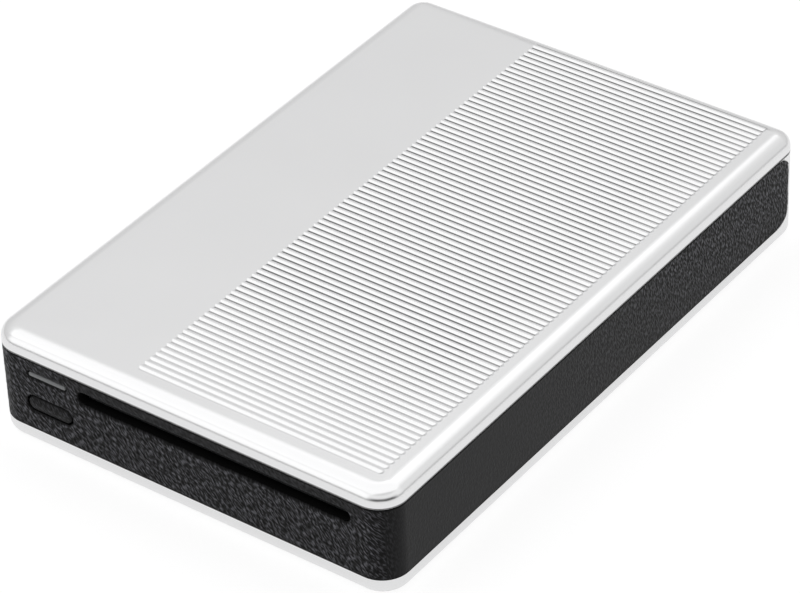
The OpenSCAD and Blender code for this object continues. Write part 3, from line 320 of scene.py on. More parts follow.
@dataclass(frozen=True)
class SatinSilver(Finish):
    """Silver paint with fine flakes, with painted shade in the valleys between the ribs and a painted black shadow
    line along the cover's joint.
    """

    colour: Colour = (0.82, 0.82, 0.825)
    roughness: float = 0.24
    metallic: float = 1.0
    flake_mm: float = 0.12
    rib_pitch: float = 1.4
    rib_y: Span = (-54.874, 57.126)
    rib_x: Span = (-12.6, 35.4)
    rib_low_z: float = 20.4
    # Where and how strongly the rib valleys get painted shade.
    valley_mm: Span = (0.08, 0.18)
    fade_in: Span = (0.028, 0.12)
    fade_out: Span = (52.0, 0.04)
    valley_shade_strength: float = 0.94
    # Heights of the painted black shadow line at the joint, and its soft edge.
    joint_shade_z: Span = (17.96, 18.07)
    joint_shade_soft: float = 0.03
    edge_mm: float = 0.2
    edge_soft: float = 0.15
    rise_per_mm: float = 4.0

    def painted_shade_masks(self, graph: Graph, place: Sock) -> tuple[Sock, Sock]:
        """Painted shade of the valleys and of the joint.

        A valley's painted shade falls with the distance to its middle line, which is the place along Y
        folded at half the pitch. The painted shade grows from the front ribs to the middle and is less at the
        right.

        Args:
            graph: The material's graph.
            place: Object coordinates in millimetres.

        Returns:
            The two masks of painted shade.
        """
        x, y, z = graph.parts(place)
        inner, outer = self.valley_mm
        past = y - self.rib_y[0]
        valley = (outer - graph.math("PINGPONG", past, self.rib_pitch / 2.0)) * (1.0 / (outer - inner))
        (left, right), (first, last), edge = self.rib_x, self.rib_y, self.edge_mm
        field = graph.between(x, left + edge, right - edge, self.edge_soft)
        field = field * graph.between(y, first - edge, last + edge, self.edge_soft)
        field = field * ((z - self.rib_low_z) * self.rise_per_mm).clamped()
        rise = (past * self.fade_in[0] + self.fade_in[1]).clamped()
        rise = rise * ((self.fade_out[0] - x) * self.fade_out[1]).clamped()
        return valley.clamped() * field * rise * self.valley_shade_strength, graph.between(z, *self.joint_shade_z, self.joint_shade_soft)

    def varying(self, graph: Graph) -> dict:
        """Flakes that sparkle a little, faint patches from spraying, painted shade in the valleys and a painted
        black shadow line at the joint.

        Args:
            graph: The material's graph.

        Returns:
            Links by socket name.
        """
        place = graph.object_place()
        flakes = graph.noise(place, 1.0 / self.flake_mm, 1.0)
        patches = graph.noise(place, 0.05, 2.0)
        paint = graph.blend(flakes * 0.5 + patches * 0.5, shade(self.colour, 0.975), shade(self.colour, 1.02))
        valleys, joint = self.painted_shade_masks(graph, place)
        # painted shade: the valleys between the ribs are darkened almost to black
        paint = graph.blend(valleys, paint, shade(self.colour, 0.05))
        return {
            # painted shadow: a thin band at the joint is painted black on the cover and the housing
            "Base Color": graph.blend(joint, paint, (0.002, 0.002, 0.002)),
            "Roughness": flakes * 0.06 + patches * 0.04 + (self.roughness - 0.05),
            "Normal": graph.bump(flakes, 0.002, 0.3),
        }


@dataclass(frozen=True)
class GrainedLeather(Finish):
    """Black leather: painted highlight on the crests, painted shade in the creases, and a fine pebble on top."""

    colour: Colour = (0.009, 0.009, 0.010)
    roughness: float = 0.38
    pebble_mm: float = 0.30
    fold_gain: float = 5.5
    tone_curve: float = 3.0
    crease_shade_and_crest_highlight: Span = (0.06, 15.0)
    bump_mm: float = 0.13

    def constant(self) -> dict:
        """Leather shines less than plastic."""
        return {"Metallic": 0.0, "Specular IOR Level": 0.12}

    def varying(self, graph: Graph) -> dict:
        """Wrinkles along the piece's own wrinkle map, as strong as stored on it, over the mesh's relief, painted
        lighter on the crests as highlight and darker in the creases as shade.

        Args:
            graph: The material's graph.

        Returns:
            Links by socket name.
        """
        place = graph.object_place()
        relief, strength = graph.attribute("relief"), graph.attribute("strength")
        run = graph.out(graph.node("ShaderNodeUVMap", {"uv_map": "wrinkle_map"}))
        folds = ((graph.noise(run, 1.0, 0.6) - 0.5) * self.fold_gain + 0.42).clamped()
        folds = (folds - 0.5) * strength + 0.5
        pebbles = graph.cells(place, 1.0 / self.pebble_mm)
        pores = graph.noise(place, 0.4, 2.0)
        # painted light: the tone lifts the crests to a painted highlight and drops the creases into painted shade
        tone = (relief * 0.26 + folds * 1.20 + pores * 0.12 - 0.42).clamped() ** self.tone_curve
        normal = graph.bump(folds * 0.86 + pebbles * 0.14, self.bump_mm)
        return self.surface(graph, tone, self.crease_shade_and_crest_highlight, pores * 0.10 - folds * 0.14, -0.04, normal)


@dataclass(frozen=True)
class PaintedSlotShade(Finish):
    """Dead black that gives almost nothing back: a painted shade for the inside of the slot."""

    colour: Colour = (0.003, 0.003, 0.003)
    roughness: float = 0.9

    def constant(self) -> dict:
        """Hardly any shine."""
        return {"Metallic": 0.0, "Specular IOR Level": 0.05}

    def varying(self, graph: Graph) -> dict:
        """A faint nap."""
        nap = graph.noise(graph.object_place(), 5.0, 3.0)
        return self.surface(graph, nap, (0.6, 1.6), nap * 0.1, 0.05, graph.bump(nap, 0.02, 0.4))


@dataclass(frozen=True)
class MouldedPlastic(Finish):
    """Plastic with a fine spark-eroded grain."""

    colour: Colour = (0.03, 0.03, 0.033)
    roughness: float = 0.55
    grain_mm: float = 0.22

    def varying(self, graph: Graph) -> dict:
        """Fine grain, with broad patches of a slightly different gloss.

        Args:
            graph: The material's graph.

        Returns:
            Links by socket name.
        """
        place = graph.object_place()
        grain = graph.noise(place, 1.0 / self.grain_mm, 3.0)
        patches = graph.noise(place, 0.12, 2.0)
        normal = graph.bump(grain, 0.010, 0.6)
        return self.surface(graph, patches, (0.88, 1.12), grain * 0.16 + patches * 0.08, 0.12, normal)


@dataclass(frozen=True)
class DrawnSteel(Finish):
    """Bright steel with fine lines along its length or round it."""

    colour: Colour = (0.66, 0.66, 0.67)
    roughness: float = 0.26
    metallic: float = 1.0
    lines: Colour = (0.4, 9.0, 9.0)

    def varying(self, graph: Graph) -> dict:
        """Lines drawn out along X, and faint stains.

        Args:
            graph: The material's graph.

        Returns:
            Links by socket name.
        """
        streaks = graph.noise(graph.object_place(self.lines), 1.0, 3.0, 0.6)
        stains = graph.noise(graph.object_place(), 0.25, 3.0)
        normal = graph.bump(streaks, 0.004, 0.5)
        return self.surface(graph, stains, (0.86, 1.08), streaks * 0.22 + stains * 0.06, 0.12, normal)


@dataclass(frozen=True)
class PlatedSheet(Finish):
    """Zinc plated sheet with a faint spangle."""

    colour: Colour = (0.56, 0.58, 0.60)
    roughness: float = 0.36
    metallic: float = 1.0
    spangle_mm: float = 2.2

    def varying(self, graph: Graph) -> dict:
        """Crystals of the plating, with a rolled grain over them.

        Args:
            graph: The material's graph.

        Returns:
            Links by socket name.
        """
        place = graph.object_place()
        spangle = graph.cells(place, 1.0 / self.spangle_mm)
        grain = graph.noise(place, 4.0, 2.0)
        normal = graph.bump(grain, 0.004, 0.4)
        return self.surface(graph, spangle, (0.88, 1.10), spangle * 0.12 + grain * 0.10, 0.10, normal)


@dataclass(frozen=True)
class GroundRubber(Finish):
    """Rubber ground true, with fine rings and dust."""

    colour: Colour = (0.03, 0.03, 0.03)
    roughness: float = 0.72

    def varying(self, graph: Graph) -> dict:
        """Grinding marks round the roller, and paler dust.

        Args:
            graph: The material's graph.

        Returns:
            Links by socket name.
        """
        marks = graph.noise(graph.object_place((9.0, 0.8, 0.8)), 1.0, 3.0)
        dust = graph.noise(graph.object_place(), 1.4, 4.0)
        return self.surface(graph, dust, (0.8, 1.5), dust * 0.15, 0.05, graph.bump(marks, 0.012, 0.7))


@dataclass(frozen=True)
class Acetal(Finish):
    """Natural white gear plastic, slightly waxy."""

    colour: Colour = (0.80, 0.77, 0.68)
    roughness: float = 0.38

    def constant(self) -> dict:
        """A little light passes under the surface."""
        return {"Metallic": 0.0, "Subsurface Weight": 0.12, "Subsurface Scale": 0.4 * MM}

    def varying(self, graph: Graph) -> dict:
        """Flow marks and a fine orange peel.

        Args:
            graph: The material's graph.

        Returns:
            Links by socket name.
        """
        place = graph.object_place()
        flow = graph.noise(place, 0.5, 2.0)
        peel = graph.noise(place, 2.5, 2.0)
        return self.surface(graph, flow, (0.93, 1.04), peel * 0.12, 0.06, graph.bump(peel, 0.006, 0.4))


@dataclass(frozen=True)
class SolderMask(Finish):
    """Green board with raised tracks under the mask."""

    colour: Colour = (0.02, 0.14, 0.06)
    roughness: float = 0.30
    track_mm: float = 1.3

    def varying(self, graph: Graph) -> dict:
        """Tracks as lighter stepped lines that stand a little proud.

        Args:
            graph: The material's graph.

        Returns:
            Links by socket name.
        """
        cells = graph.cells(graph.object_place((1.0, 0.35, 1.0)), 1.0 / self.track_mm, "DISTANCE_TO_EDGE")
        tracks = 1.0 - cells.above(0.12)
        grain = graph.noise(graph.object_place(), 3.0, 2.0)
        return {
            "Base Color": graph.blend(tracks * 0.7 + grain * 0.3, self.colour, shade(self.colour, 1.9)),
            "Roughness": grain * 0.15 + (self.roughness - 0.05),
            "Normal": graph.bump(tracks, 0.02, 0.5),
        }


@dataclass(frozen=True)
class FoilPouch(Finish):
    """Battery foil, slightly wrinkled and satin."""

    colour: Colour = (0.60, 0.62, 0.64)
    roughness: float = 0.34
    metallic: float = 1.0

    def varying(self, graph: Graph) -> dict:
        """Soft dents and fine creases.

        Args:
            graph: The material's graph.

        Returns:
            Links by socket name.
        """
        place = graph.object_place()
        dents = graph.noise(place, 0.12, 2.0)
        creases = graph.noise(place, 0.9, 4.0, 0.6)
        normal = graph.bump(dents * 0.7 + creases * 0.3, 0.25, 0.5)
        return self.surface(graph, creases, (0.9, 1.06), creases * 0.18, 0.08, normal)


@dataclass(frozen=True)
class MilkyLight(Finish):
    """Milky window of the status light."""

    colour: Colour = (0.20, 0.205, 0.21)
    roughness: float = 0.35

    def varying(self, graph: Graph) -> dict:
        """Diffusing specks in the plastic.

        Args:
            graph: The material's graph.

        Returns:
            Links by socket name.
        """
        place = graph.object_place()
        specks = graph.noise(place, 3.0, 3.0)
        return self.surface(graph, specks, (0.9, 1.1), specks * 0.1, 0.05, graph.bump(specks, 0.004, 0.3))


FINISHES: dict[Slot, Finish] = {
    Slot.SILVER: SatinSilver(),
    Slot.LEATHER: GrainedLeather(),
    Slot.LINER: MouldedPlastic((0.040, 0.040, 0.044), 0.50, 0.0, 0.30),
    Slot.INNER: MouldedPlastic((0.022, 0.022, 0.024), 0.60, 0.0, 0.20),
    Slot.STEEL: DrawnSteel(),
    Slot.SPRING: DrawnSteel((0.50, 0.51, 0.53), 0.30),
    Slot.SHEET: PlatedSheet(),
    Slot.ALUMINIUM: DrawnSteel((0.76, 0.77, 0.78), 0.34, 1.0, (0.5, 5.0, 5.0)),
    Slot.MAGNET: PlatedSheet((0.42, 0.42, 0.43), 0.24, 1.0, 1.0),
    Slot.RUBBER: GroundRubber(),
    Slot.TYRE: GroundRubber((0.20, 0.21, 0.22), 0.70),
    Slot.GEAR: Acetal(),
    Slot.CERAMIC: Acetal((0.70, 0.64, 0.53), 0.22),
    Slot.BRASS: DrawnSteel((0.70, 0.52, 0.22), 0.28, 1.0, (6.0, 1.0, 1.0)),
    Slot.FOIL: FoilPouch(),
    Slot.BOARD: SolderMask(),
    Slot.CHIP: MouldedPlastic((0.018, 0.018, 0.018), 0.62, 0.0, 0.12),
    Slot.LIGHT: MilkyLight(),
    Slot.LED: MilkyLight((0.80, 0.78, 0.60), 0.30),
}


class PaintShop:
    """Makes each slot's material once and puts it on pieces."""

    def __init__(self, subparts: list[dict]) -> None:
        """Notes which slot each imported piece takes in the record's list."""
        self.slots = {entry["node"]: Slot(entry["material_slot"]) for entry in subparts}
        self.made: dict[Slot, bpy.types.Material] = {}

    def material(self, slot: Slot) -> bpy.types.Material:
        """The slot's material, made when it is first asked for.

        Args:
            slot: The slot.

        Returns:
            The material.
        """
        if slot not in self.made:
            self.made[slot] = FINISHES[slot].build(slot.value)
        return self.made[slot]

    def paint(self, piece: bpy.types.Object, slot: Slot) -> None:
        """Gives a piece one slot's material alone.

        Args:
            piece: The piece.
            slot: The slot.
        """
        piece.data.materials.clear()
        piece.data.materials.append(self.material(slot))
        LOG.info("painted %s with %s", piece.name, slot.value)


# ------------------------------------------------------------------- shapes


def placed(name: str, data: bpy.types.ID) -> bpy.types.Object:
    """Makes an object at the origin and adds it to the scene.

    Args:
        name: The object's name.
        data: Its mesh, camera or lamp.

    Returns:
        The object.
    """
    made = bpy.data.objects.new(name, data)
    bpy.context.scene.collection.objects.link(made)
    return made


def pull(items: bpy.types.bpy_prop_collection, key: str, kind: type = np.float32, width: int = 1) -> np.ndarray:
    """Reads one property of all points, edges, loops or faces of a mesh.

    Args:
        items: The mesh's collection.
        key: The property's name.
        kind: Type of the numbers.
        width: Numbers in each value.

    Returns:
        One row for each item, or a plain list of numbers where the width is 1.
    """
    values = np.empty(len(items) * width, dtype=kind)
    items.foreach_get(key, values)
    return values.reshape(-1, width) if width > 1 else values


def mesh_piece(name: str, points: np.ndarray, faces: list[list[int]]) -> bpy.types.Object:
    """Makes an object at the origin, shaded smooth.

    Args:
        name: The piece's name.
        points: Corners in millimetres, one row each.
        faces: Corner numbers of each face, seen from outside anticlockwise.

    Returns:
        The new object.
    """
    mesh = bpy.data.meshes.new(name)
    mesh.from_pydata((points * MM).tolist(), [], faces)
    mesh.polygons.foreach_set("use_smooth", np.ones(len(mesh.polygons), dtype=bool))
    return placed(name, mesh)


def tube_faces(rings: int, sides: int) -> list[list[int]]:
    """Quads between closed rings, and a cap on the first and the last ring.

    Corner k of ring i has the number i * sides + k, and each quad joins corner k and its next one on
    two rings that follow each other.

    Args:
        rings: Number of rings.
        sides: Number of corners in each ring.

    Returns:
        The faces.
    """
    ring = np.arange(sides)
    low = (np.arange(rings - 1)[:, None] * sides + ring).ravel()
    low_next = (np.arange(rings - 1)[:, None] * sides + (ring + 1) % sides).ravel()
    quads = np.stack([low, low_next, low_next + sides, low + sides], axis=1)
    return [*quads.tolist(), ring[::-1].tolist(), (ring + (rings - 1) * sides).tolist()]


def roll(distance: np.ndarray, radius: float) -> np.ndarray:
    """Depth of a rounded edge: radius minus the height of a quarter circle at this distance in."""
    inward = radius - np.clip(distance, 0.0, radius)
    return radius - np.sqrt(radius**2 - inward**2)


def ease(value: np.ndarray, low: float, high: float) -> np.ndarray:
    """0 below low, 1 above high, and a smooth cubic step between."""
    t = np.clip((value - low) / (high - low), 0.0, 1.0)
    return t * t * (3.0 - 2.0 * t)


def grade(mesh: bpy.types.Mesh, relief: np.ndarray, strength: np.ndarray, places: np.ndarray) -> None:
    """Stores what the leather finish reads on a mesh.

    Args:
        mesh: The mesh.
        relief: Height of its own relief at each corner, from 0 to 1, which the finish turns into painted highlight
            and painted shade; lower values paint darker.
        strength: How strong the finish's folds are at each corner.
        places: Places across and along the folds at each corner.
    """
    for name, values in (("relief", relief), ("strength", strength)):
        mesh.attributes.new(name, "FLOAT", "POINT").data.foreach_set("value", values.astype(np.float32))
    corner = pull(mesh.loops, "vertex_index", np.int32)
    mesh.uv_layers.new(name="wrinkle_map").data.foreach_set("uv", places[corner].astype(np.float32).ravel())


@dataclass(frozen=True)
class Stadium:
    """A bar with round ends in the slot face, by its centre, length and height."""

    x: float
    z: float
    length: float
    height: float

    @classmethod
    def of(cls, node: str, grow: float = 0.0) -> "Stadium":
        """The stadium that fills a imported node's box, grown on every side.

        Args:
            node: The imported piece.
            grow: How far it grows, in millimetres.

        Returns:
            The stadium.
        """
        low, high = (np.array(corner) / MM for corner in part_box(node))
        middle, size = (low + high) / 2.0, high - low + 2.0 * grow
        return cls(float(middle[0]), float(middle[2]), float(size[0]), float(size[2]))

    def grown(self, by: float) -> "Stadium":
        """This stadium with its outline moved out."""
        return Stadium(self.x, self.z, self.length + 2.0 * by, self.height + 2.0 * by)

    def distance(self, x: np.ndarray, z: np.ndarray) -> np.ndarray:
        """Distance outside the outline, negative inside: length to the core line minus the end radius.

        Args:
            x: Places along X.
            z: Heights.

        Returns:
            The distances.
        """
        half_core = (self.length - self.height) / 2.0
        aside = np.maximum(np.abs(x - self.x) - half_core, 0.0)
        return np.hypot(aside, z - self.z) - self.height / 2.0

    def outline(self, inset: float, corners: int = 48) -> tuple[np.ndarray, np.ndarray]:
        """Outline moved in by inset: two half circles on the ends of the core line.

        Args:
            inset: How far the outline moves in, in millimetres.
            corners: Number of corners, split between the two ends.

        Returns:
            Places along X and along Z.
        """
        half = corners // 2
        turn = np.concatenate([np.linspace(-0.5, 0.5, half), np.linspace(0.5, 1.5, half)]) * math.pi
        end = np.repeat([1.0, -1.0], half) * (self.length - self.height) / 2.0
        radius = self.height / 2.0 - inset
        return self.x + end + radius * np.cos(turn), self.z + radius * np.sin(turn)

    def rings(self, insets: np.ndarray, places: np.ndarray) -> np.ndarray:
        """Outlines one behind the other along Y.

        Args:
            insets: How far each ring moves in from the outline.
            places: Each ring's place along Y.

        Returns:
            Points by ring and corner, with X, Y and Z in the last axis.
        """
        sections = zip(map(self.outline, insets), places)
        return np.array([np.stack([x, np.full_like(x, y), z], axis=1) for (x, z), y in sections])

    def loft(self, name: str, insets: np.ndarray, places: np.ndarray) -> bpy.types.Object:
        """Lofts the outline along Y: one ring for each inset and place, capped at both ends.

        Args:
            name: The piece's name.
            insets: How far each ring moves in from the outline.
            places: Each ring's place along Y, from the back to the front.

        Returns:
            The new object.
        """
        rings = self.rings(insets, places)
        return mesh_piece(name, rings.reshape(-1, 3), tube_faces(*rings.shape[:2]))


# ------------------------------------------------------------ leather band


@dataclass(frozen=True)
class Wrinkles:
    """Relief of the leather: plump wrinkles side by side, made from filtered noise."""

    pitch_mm: float
    slant_deg: float
    spread_deg: float = 34.0
    step_mm: float = 0.1
    seed: int = 7

    def field(self, span: Span, rise: Span) -> np.ndarray:
        """Works out the relief on an even grid.

        White noise is filtered by a bell round the wrinkles' frequency and another round their slant,
        scaled to its own spread and pressed by tanh into crests and creases from 0 to 1.

        Args:
            span: First and last place along the band.
            rise: First and last height.

        Returns:
            The relief, with places along the band in rows and heights in columns.
        """
        shape = tuple(int((high - low) / self.step_mm) + 2 for low, high in (span, rise))
        noise = np.random.default_rng(self.seed).standard_normal(shape)
        along = np.fft.fftfreq(shape[0], self.step_mm)[:, None]
        up = np.fft.fftfreq(shape[1], self.step_mm)[None, :]
        rate = np.hypot(along, up) * self.pitch_mm
        slant = np.radians(self.slant_deg)
        off = np.arctan2(np.sin(np.arctan2(up, along) - slant), np.cos(np.arctan2(up, along) - slant))
        off = np.minimum(np.abs(off), math.pi - np.abs(off))
        bell = np.exp(-(((rate - 1.0) / 0.45) ** 2) - (off / math.radians(self.spread_deg)) ** 2)
        made = np.real(np.fft.ifft2(np.fft.fft2(noise) * bell))
        return 0.5 + 0.5 * np.tanh(made / made.std() * 1.4)


@dataclass
class LeatherBand:
    """Leather glued round the slot face and both sides, with real wrinkles and rolled edges."""

    thickness: float = 0.6
    front_r: float = 5.0
    rear_r: float = 3.5
    end_r: float = 3.5
    edge_r: float = 0.28
    mouth_r: float = 0.40
    depth: float = 0.09
    fold_mm: Span = (0.22, 0.95)
    left_step: float = 0.5
    front_step: float = 0.2
    right_step: float = 0.22
    rows: int = 62
    bend_mm: float = 14.0
    crease_mm: float = 0.5
    least_mm: float = 0.05
    calm: float = 0.06
    side_run: Span = (24.0, 105.0)
    side_low: float = 0.45
    side_gain: float = 1.45
    front_run: Span = (0.5, 6.5)
    strip_z: Span = (15.3, 15.9)
    strip_s: Span = (-26.0, -20.0)
    strip_calm: float = 0.6
    cutter_y: Span = (2.0, -1.0)
    # Distances over which the edges and the openings' mouths calm the wrinkles and fade into painted shade.
    edge_shade_and_calm: Span = (0.05, 0.40)
    mouth_shade_and_calm: Span = (0.05, 0.30)
    front_grain: Wrinkles = Wrinkles(0.88, 43.0)
    side_grain: Wrinkles = Wrinkles(1.0, 18.0, 36.0, 0.1, 11)

    def __post_init__(self) -> None:
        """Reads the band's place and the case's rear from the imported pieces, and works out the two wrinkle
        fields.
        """
        low, high = (np.array(corner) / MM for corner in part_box("leather_band"))
        case = np.array(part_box("lower_housing")[1]) / MM
        self.half_w, self.rear = float(high[0]), float(case[1])
        self.front, self.rise = float(low[1]), (float(low[2]), float(high[2]))
        self.corner_x = self.half_w - self.front_r
        self.corner_y = self.front + self.front_r
        self.turn_l = self.front_r * math.pi / 2.0
        self.side_l = self.rear - self.rear_r - self.corner_y
        past = (float(high[1]) - self.corner_y - self.side_l) / self.rear_r
        self.reach = self.corner_x + self.turn_l + self.side_l + self.rear_r * math.asin(past)
        span = (-self.reach, self.reach)
        self.front_field = self.front_grain.field(span, self.rise)
        self.side_field = self.side_grain.field(span, self.rise)

    def path(self, s: np.ndarray) -> tuple[np.ndarray, np.ndarray]:
        """Plan of the band: flat slot face, quarter turns at the front corners, sides, start of the rear turns.

        The way s is measured from the middle of the slot face. Past the face it bends by s over the
        corner radius, runs straight back, and bends again by the rest over the rear radius.

        Args:
            s: Places along the band, negative to the left.

        Returns:
            Points and outward directions, each with X and Y in the last axis.
        """
        side, way = np.sign(s), np.abs(s)
        first = np.clip((way - self.corner_x) / self.front_r, 0.0, math.pi / 2.0)
        straight = np.clip(way - self.corner_x - self.turn_l, 0.0, self.side_l)
        last = np.maximum(way - self.corner_x - self.turn_l - self.side_l, 0.0) / self.rear_r
        x = np.minimum(way, self.corner_x) + self.front_r * np.sin(first) - self.rear_r * (1.0 - np.cos(last))
        y = self.corner_y - self.front_r * np.cos(first) + straight + self.rear_r * np.sin(last)
        out = np.stack([side * np.sin(first + last), -np.cos(first + last)], axis=-1)
        return np.stack([side * x, y], axis=-1), out

    def way(self, x: np.ndarray, y: np.ndarray) -> np.ndarray:
        """Place along the band of points on it, the inverse of the path without the rear turns.

        Args:
            x: Places along X.
            y: Places along Y.

        Returns:
            Places along the band, negative to the left.
        """
        turn = np.arctan2(np.maximum(np.abs(x) - self.corner_x, 0.0), np.maximum(self.corner_y - y, 1e-6))
        past = np.maximum(y - self.corner_y, 0.0)
        return np.sign(x) * (np.minimum(np.abs(x), self.corner_x) + self.front_r * turn + past)

    def strength(self, s: np.ndarray, z: np.ndarray) -> np.ndarray:
        """How strong the wrinkles are, from 0 to 1, in depth and in their painted crest highlight and crease shade.

        It falls to almost nothing at the right corner, grows again towards the rear, first near the
        top edge, and is less on the narrow strip over the slot.

        Args:
            s: Places along the band.
            z: Heights.

        Returns:
            The strength.
        """
        up = (z - self.rise[0]) / (self.rise[1] - self.rise[0])
        onset = self.corner_x + self.turn_l
        side = ease(s, *(onset + run for run in self.side_run)) * (self.side_low + (1.0 - self.side_low) * up)
        side = np.clip(side * self.side_gain, 0.0, 1.0)
        front = 1.0 - (1.0 - self.calm) * ease(s, *(self.corner_x + run for run in self.front_run))
        strength = np.where(s < onset - 1.0, front, self.calm + (1.0 - self.calm) * side)
        strip = 1.0 - self.strip_calm * ease(z, *self.strip_z) * ease(s, *self.strip_s)
        return strength * np.where(s < self.corner_x, strip, 1.0)

    def relief(self, s: np.ndarray, z: np.ndarray) -> np.ndarray:
        """Relief from 0 in the creases to 1 on the crests: both fields blended over the front corner.

        Args:
            s: Places along the band.
            z: Heights.

        Returns:
            The relief.
        """
        mixed = ease(np.abs(s), self.corner_x, self.corner_x + self.turn_l + 6.0)
        value = self.read(self.front_field, s, z) * (1.0 - mixed) + self.read(self.side_field, s, z) * mixed
        return 0.5 + (value - 0.5) * self.strength(s, z)

    def wrinkle_map(self, s: np.ndarray, z: np.ndarray) -> np.ndarray:
        """Places across and along the wrinkles, each over the size of one: the plan turned by their slant.

        Args:
            s: Places along the band.
            z: Heights.

        Returns:
            The two places in the last axis.
        """
        at_side = np.abs(s) > self.corner_x + self.turn_l / 2.0
        slant = np.radians(np.where(at_side, self.side_grain.slant_deg, self.front_grain.slant_deg))
        across = s * np.cos(slant) + z * np.sin(slant)
        onward = z * np.cos(slant) - s * np.sin(slant)
        return np.stack([across / self.fold_mm[0], onward / self.fold_mm[1]], axis=-1)

    def read(self, field: np.ndarray, s: np.ndarray, z: np.ndarray) -> np.ndarray:
        """Reads a field between its grid points in proportion.

        Args:
            field: The relief on the even grid.
            s: Places along the band.
            z: Heights.

        Returns:
            The relief at these places.
        """
        step = self.front_grain.step_mm
        a = np.clip((s + self.reach) / step, 0.0, field.shape[0] - 1.001)
        b = np.clip((z - self.rise[0]) / step, 0.0, field.shape[1] - 1.001)
        i, j = a.astype(int), b.astype(int)
        p, q = a - i, b - j
        near = field[i, j] * (1.0 - q) + field[i, j + 1] * q
        return near * (1.0 - p) + (field[i + 1, j] * (1.0 - q) + field[i + 1, j + 1] * q) * p

    def knots(self) -> np.ndarray:
        """Places of the grid's columns, close together where the photograph looks.

        Returns:
            Places along the band, in order.
        """
        onset = self.corner_x + self.turn_l
        left = np.arange(-self.reach + EDGE_MM, -onset, self.left_step)
        middle = np.arange(-onset, onset, self.front_step)
        right = np.arange(onset, self.reach - EDGE_MM, self.right_step)
        return np.concatenate([-self.reach + EDGE_STEPS, left, middle, right, (self.reach - EDGE_STEPS)[::-1]])

    def surface(self, openings: list[Stadium]) -> tuple[np.ndarray, list[list[int]]]:
        """The whole skin of the band as one tube round its section.

        Each column is a closed ring: up the face, over the rounded top edge, down the glued back and
        round the lower edge. A point is the path's point less its depth times the outward direction.
        The depth adds the rolled edge, the rolled mouths of the openings and the creases. The ends
        follow a circle, so the columns there bend in by its drop at each height.

        Args:
            openings: Openings whose mouths roll inwards.

        Returns:
            Points and faces.
        """
        low, high = self.rise
        rows = np.linspace(low + EDGE_MM, high - EDGE_MM, self.rows)
        face = np.concatenate([low + EDGE_STEPS, rows, (high - EDGE_STEPS)[::-1]])
        z = np.concatenate([face, [high, low]])
        glued = np.concatenate([np.zeros(len(face)), [1.0, 1.0]])
        knots = self.knots()
        s, z = np.meshgrid(knots, z, indexing="ij")
        short = self.end_r - np.minimum(np.minimum(z - low, high - z), self.end_r)
        drop = self.end_r - np.sqrt(self.end_r**2 - short**2)
        bent = s - np.sign(s) * drop * ease(np.abs(s), self.reach - self.bend_mm, self.reach)
        border = np.minimum(np.minimum(z - low, high - z), self.reach - drop - np.abs(bent))
        depth = roll(border, self.edge_r)
        depth += self.depth * (1.0 - self.relief(bent, z)) * ease(border, 0.0, self.crease_mm)
        at_front = np.abs(bent) < self.corner_x
        for opening in openings:
            depth += np.where(at_front, roll(opening.distance(bent, z), self.mouth_r), 0.0)
        depth = np.minimum(depth, self.thickness - self.least_mm) * (1.0 - glued) + self.thickness * glued
        spot, out = self.path(bent)
        plan = spot - out * depth[..., None]
        points = np.concatenate([plan, z[..., None]], axis=-1).reshape(-1, 3)
        return points, tube_faces(*s.shape)

    def build(self, shop: PaintShop, openings: list[Stadium]) -> bpy.types.Object:
        """Makes the band, cuts its openings and stores its relief for the finish, with relief and strength brought
        to 0 along its edges and round the openings, which the finish shows as painted shade.

        Args:
            shop: Gives the leather.
            openings: The slot, the button's and the light's openings.

        Returns:
            The band.
        """
        whole = mesh_piece("band_blank", *self.surface(openings))
        for number, opening in enumerate(openings):
            cutter = opening.loft(f"band_cutter_{number}", np.zeros(2), self.front + np.array(self.cutter_y))
            cut = whole.modifiers.new(cutter.name, "BOOLEAN")
            cut.object, cut.operation, cut.solver = cutter, "DIFFERENCE", "MANIFOLD"
        baked = bpy.data.meshes.new_from_object(whole.evaluated_get(bpy.context.evaluated_depsgraph_get()))
        for spent in [whole, *[cut.object for cut in whole.modifiers]]:
            bpy.data.objects.remove(spent)
        band = placed("leather_wrap", baked)
        baked.name = band.name
        x, y, z = pull(baked.vertices, "co", width=3).T / MM
        s, z = self.way(x, y), np.clip(z, *self.rise)
        # painted shade: near the top and bottom edges and the openings' mouths the stored relief falls to 0, which
        # the finish paints dark
        edge = ease(np.minimum(z - self.rise[0], self.rise[1] - z), *self.edge_shade_and_calm)
        at_face = (y < self.corner_y) & (np.abs(x) < self.corner_x)
        for opening in openings:
            edge *= np.where(at_face, ease(opening.distance(x, z), *self.mouth_shade_and_calm), 1.0)
        grade(baked, self.relief(s, z) * edge, self.strength(s, z) * edge, self.wrinkle_map(s, z))
        shop.paint(band, Slot.LEATHER)
        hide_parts("leather_band")
        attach(band, Body.HOUSING.value)
        LOG.info("built %s with %d faces", band.name, len(baked.polygons))
        return band


# --------------------------------------------------------------- slot face


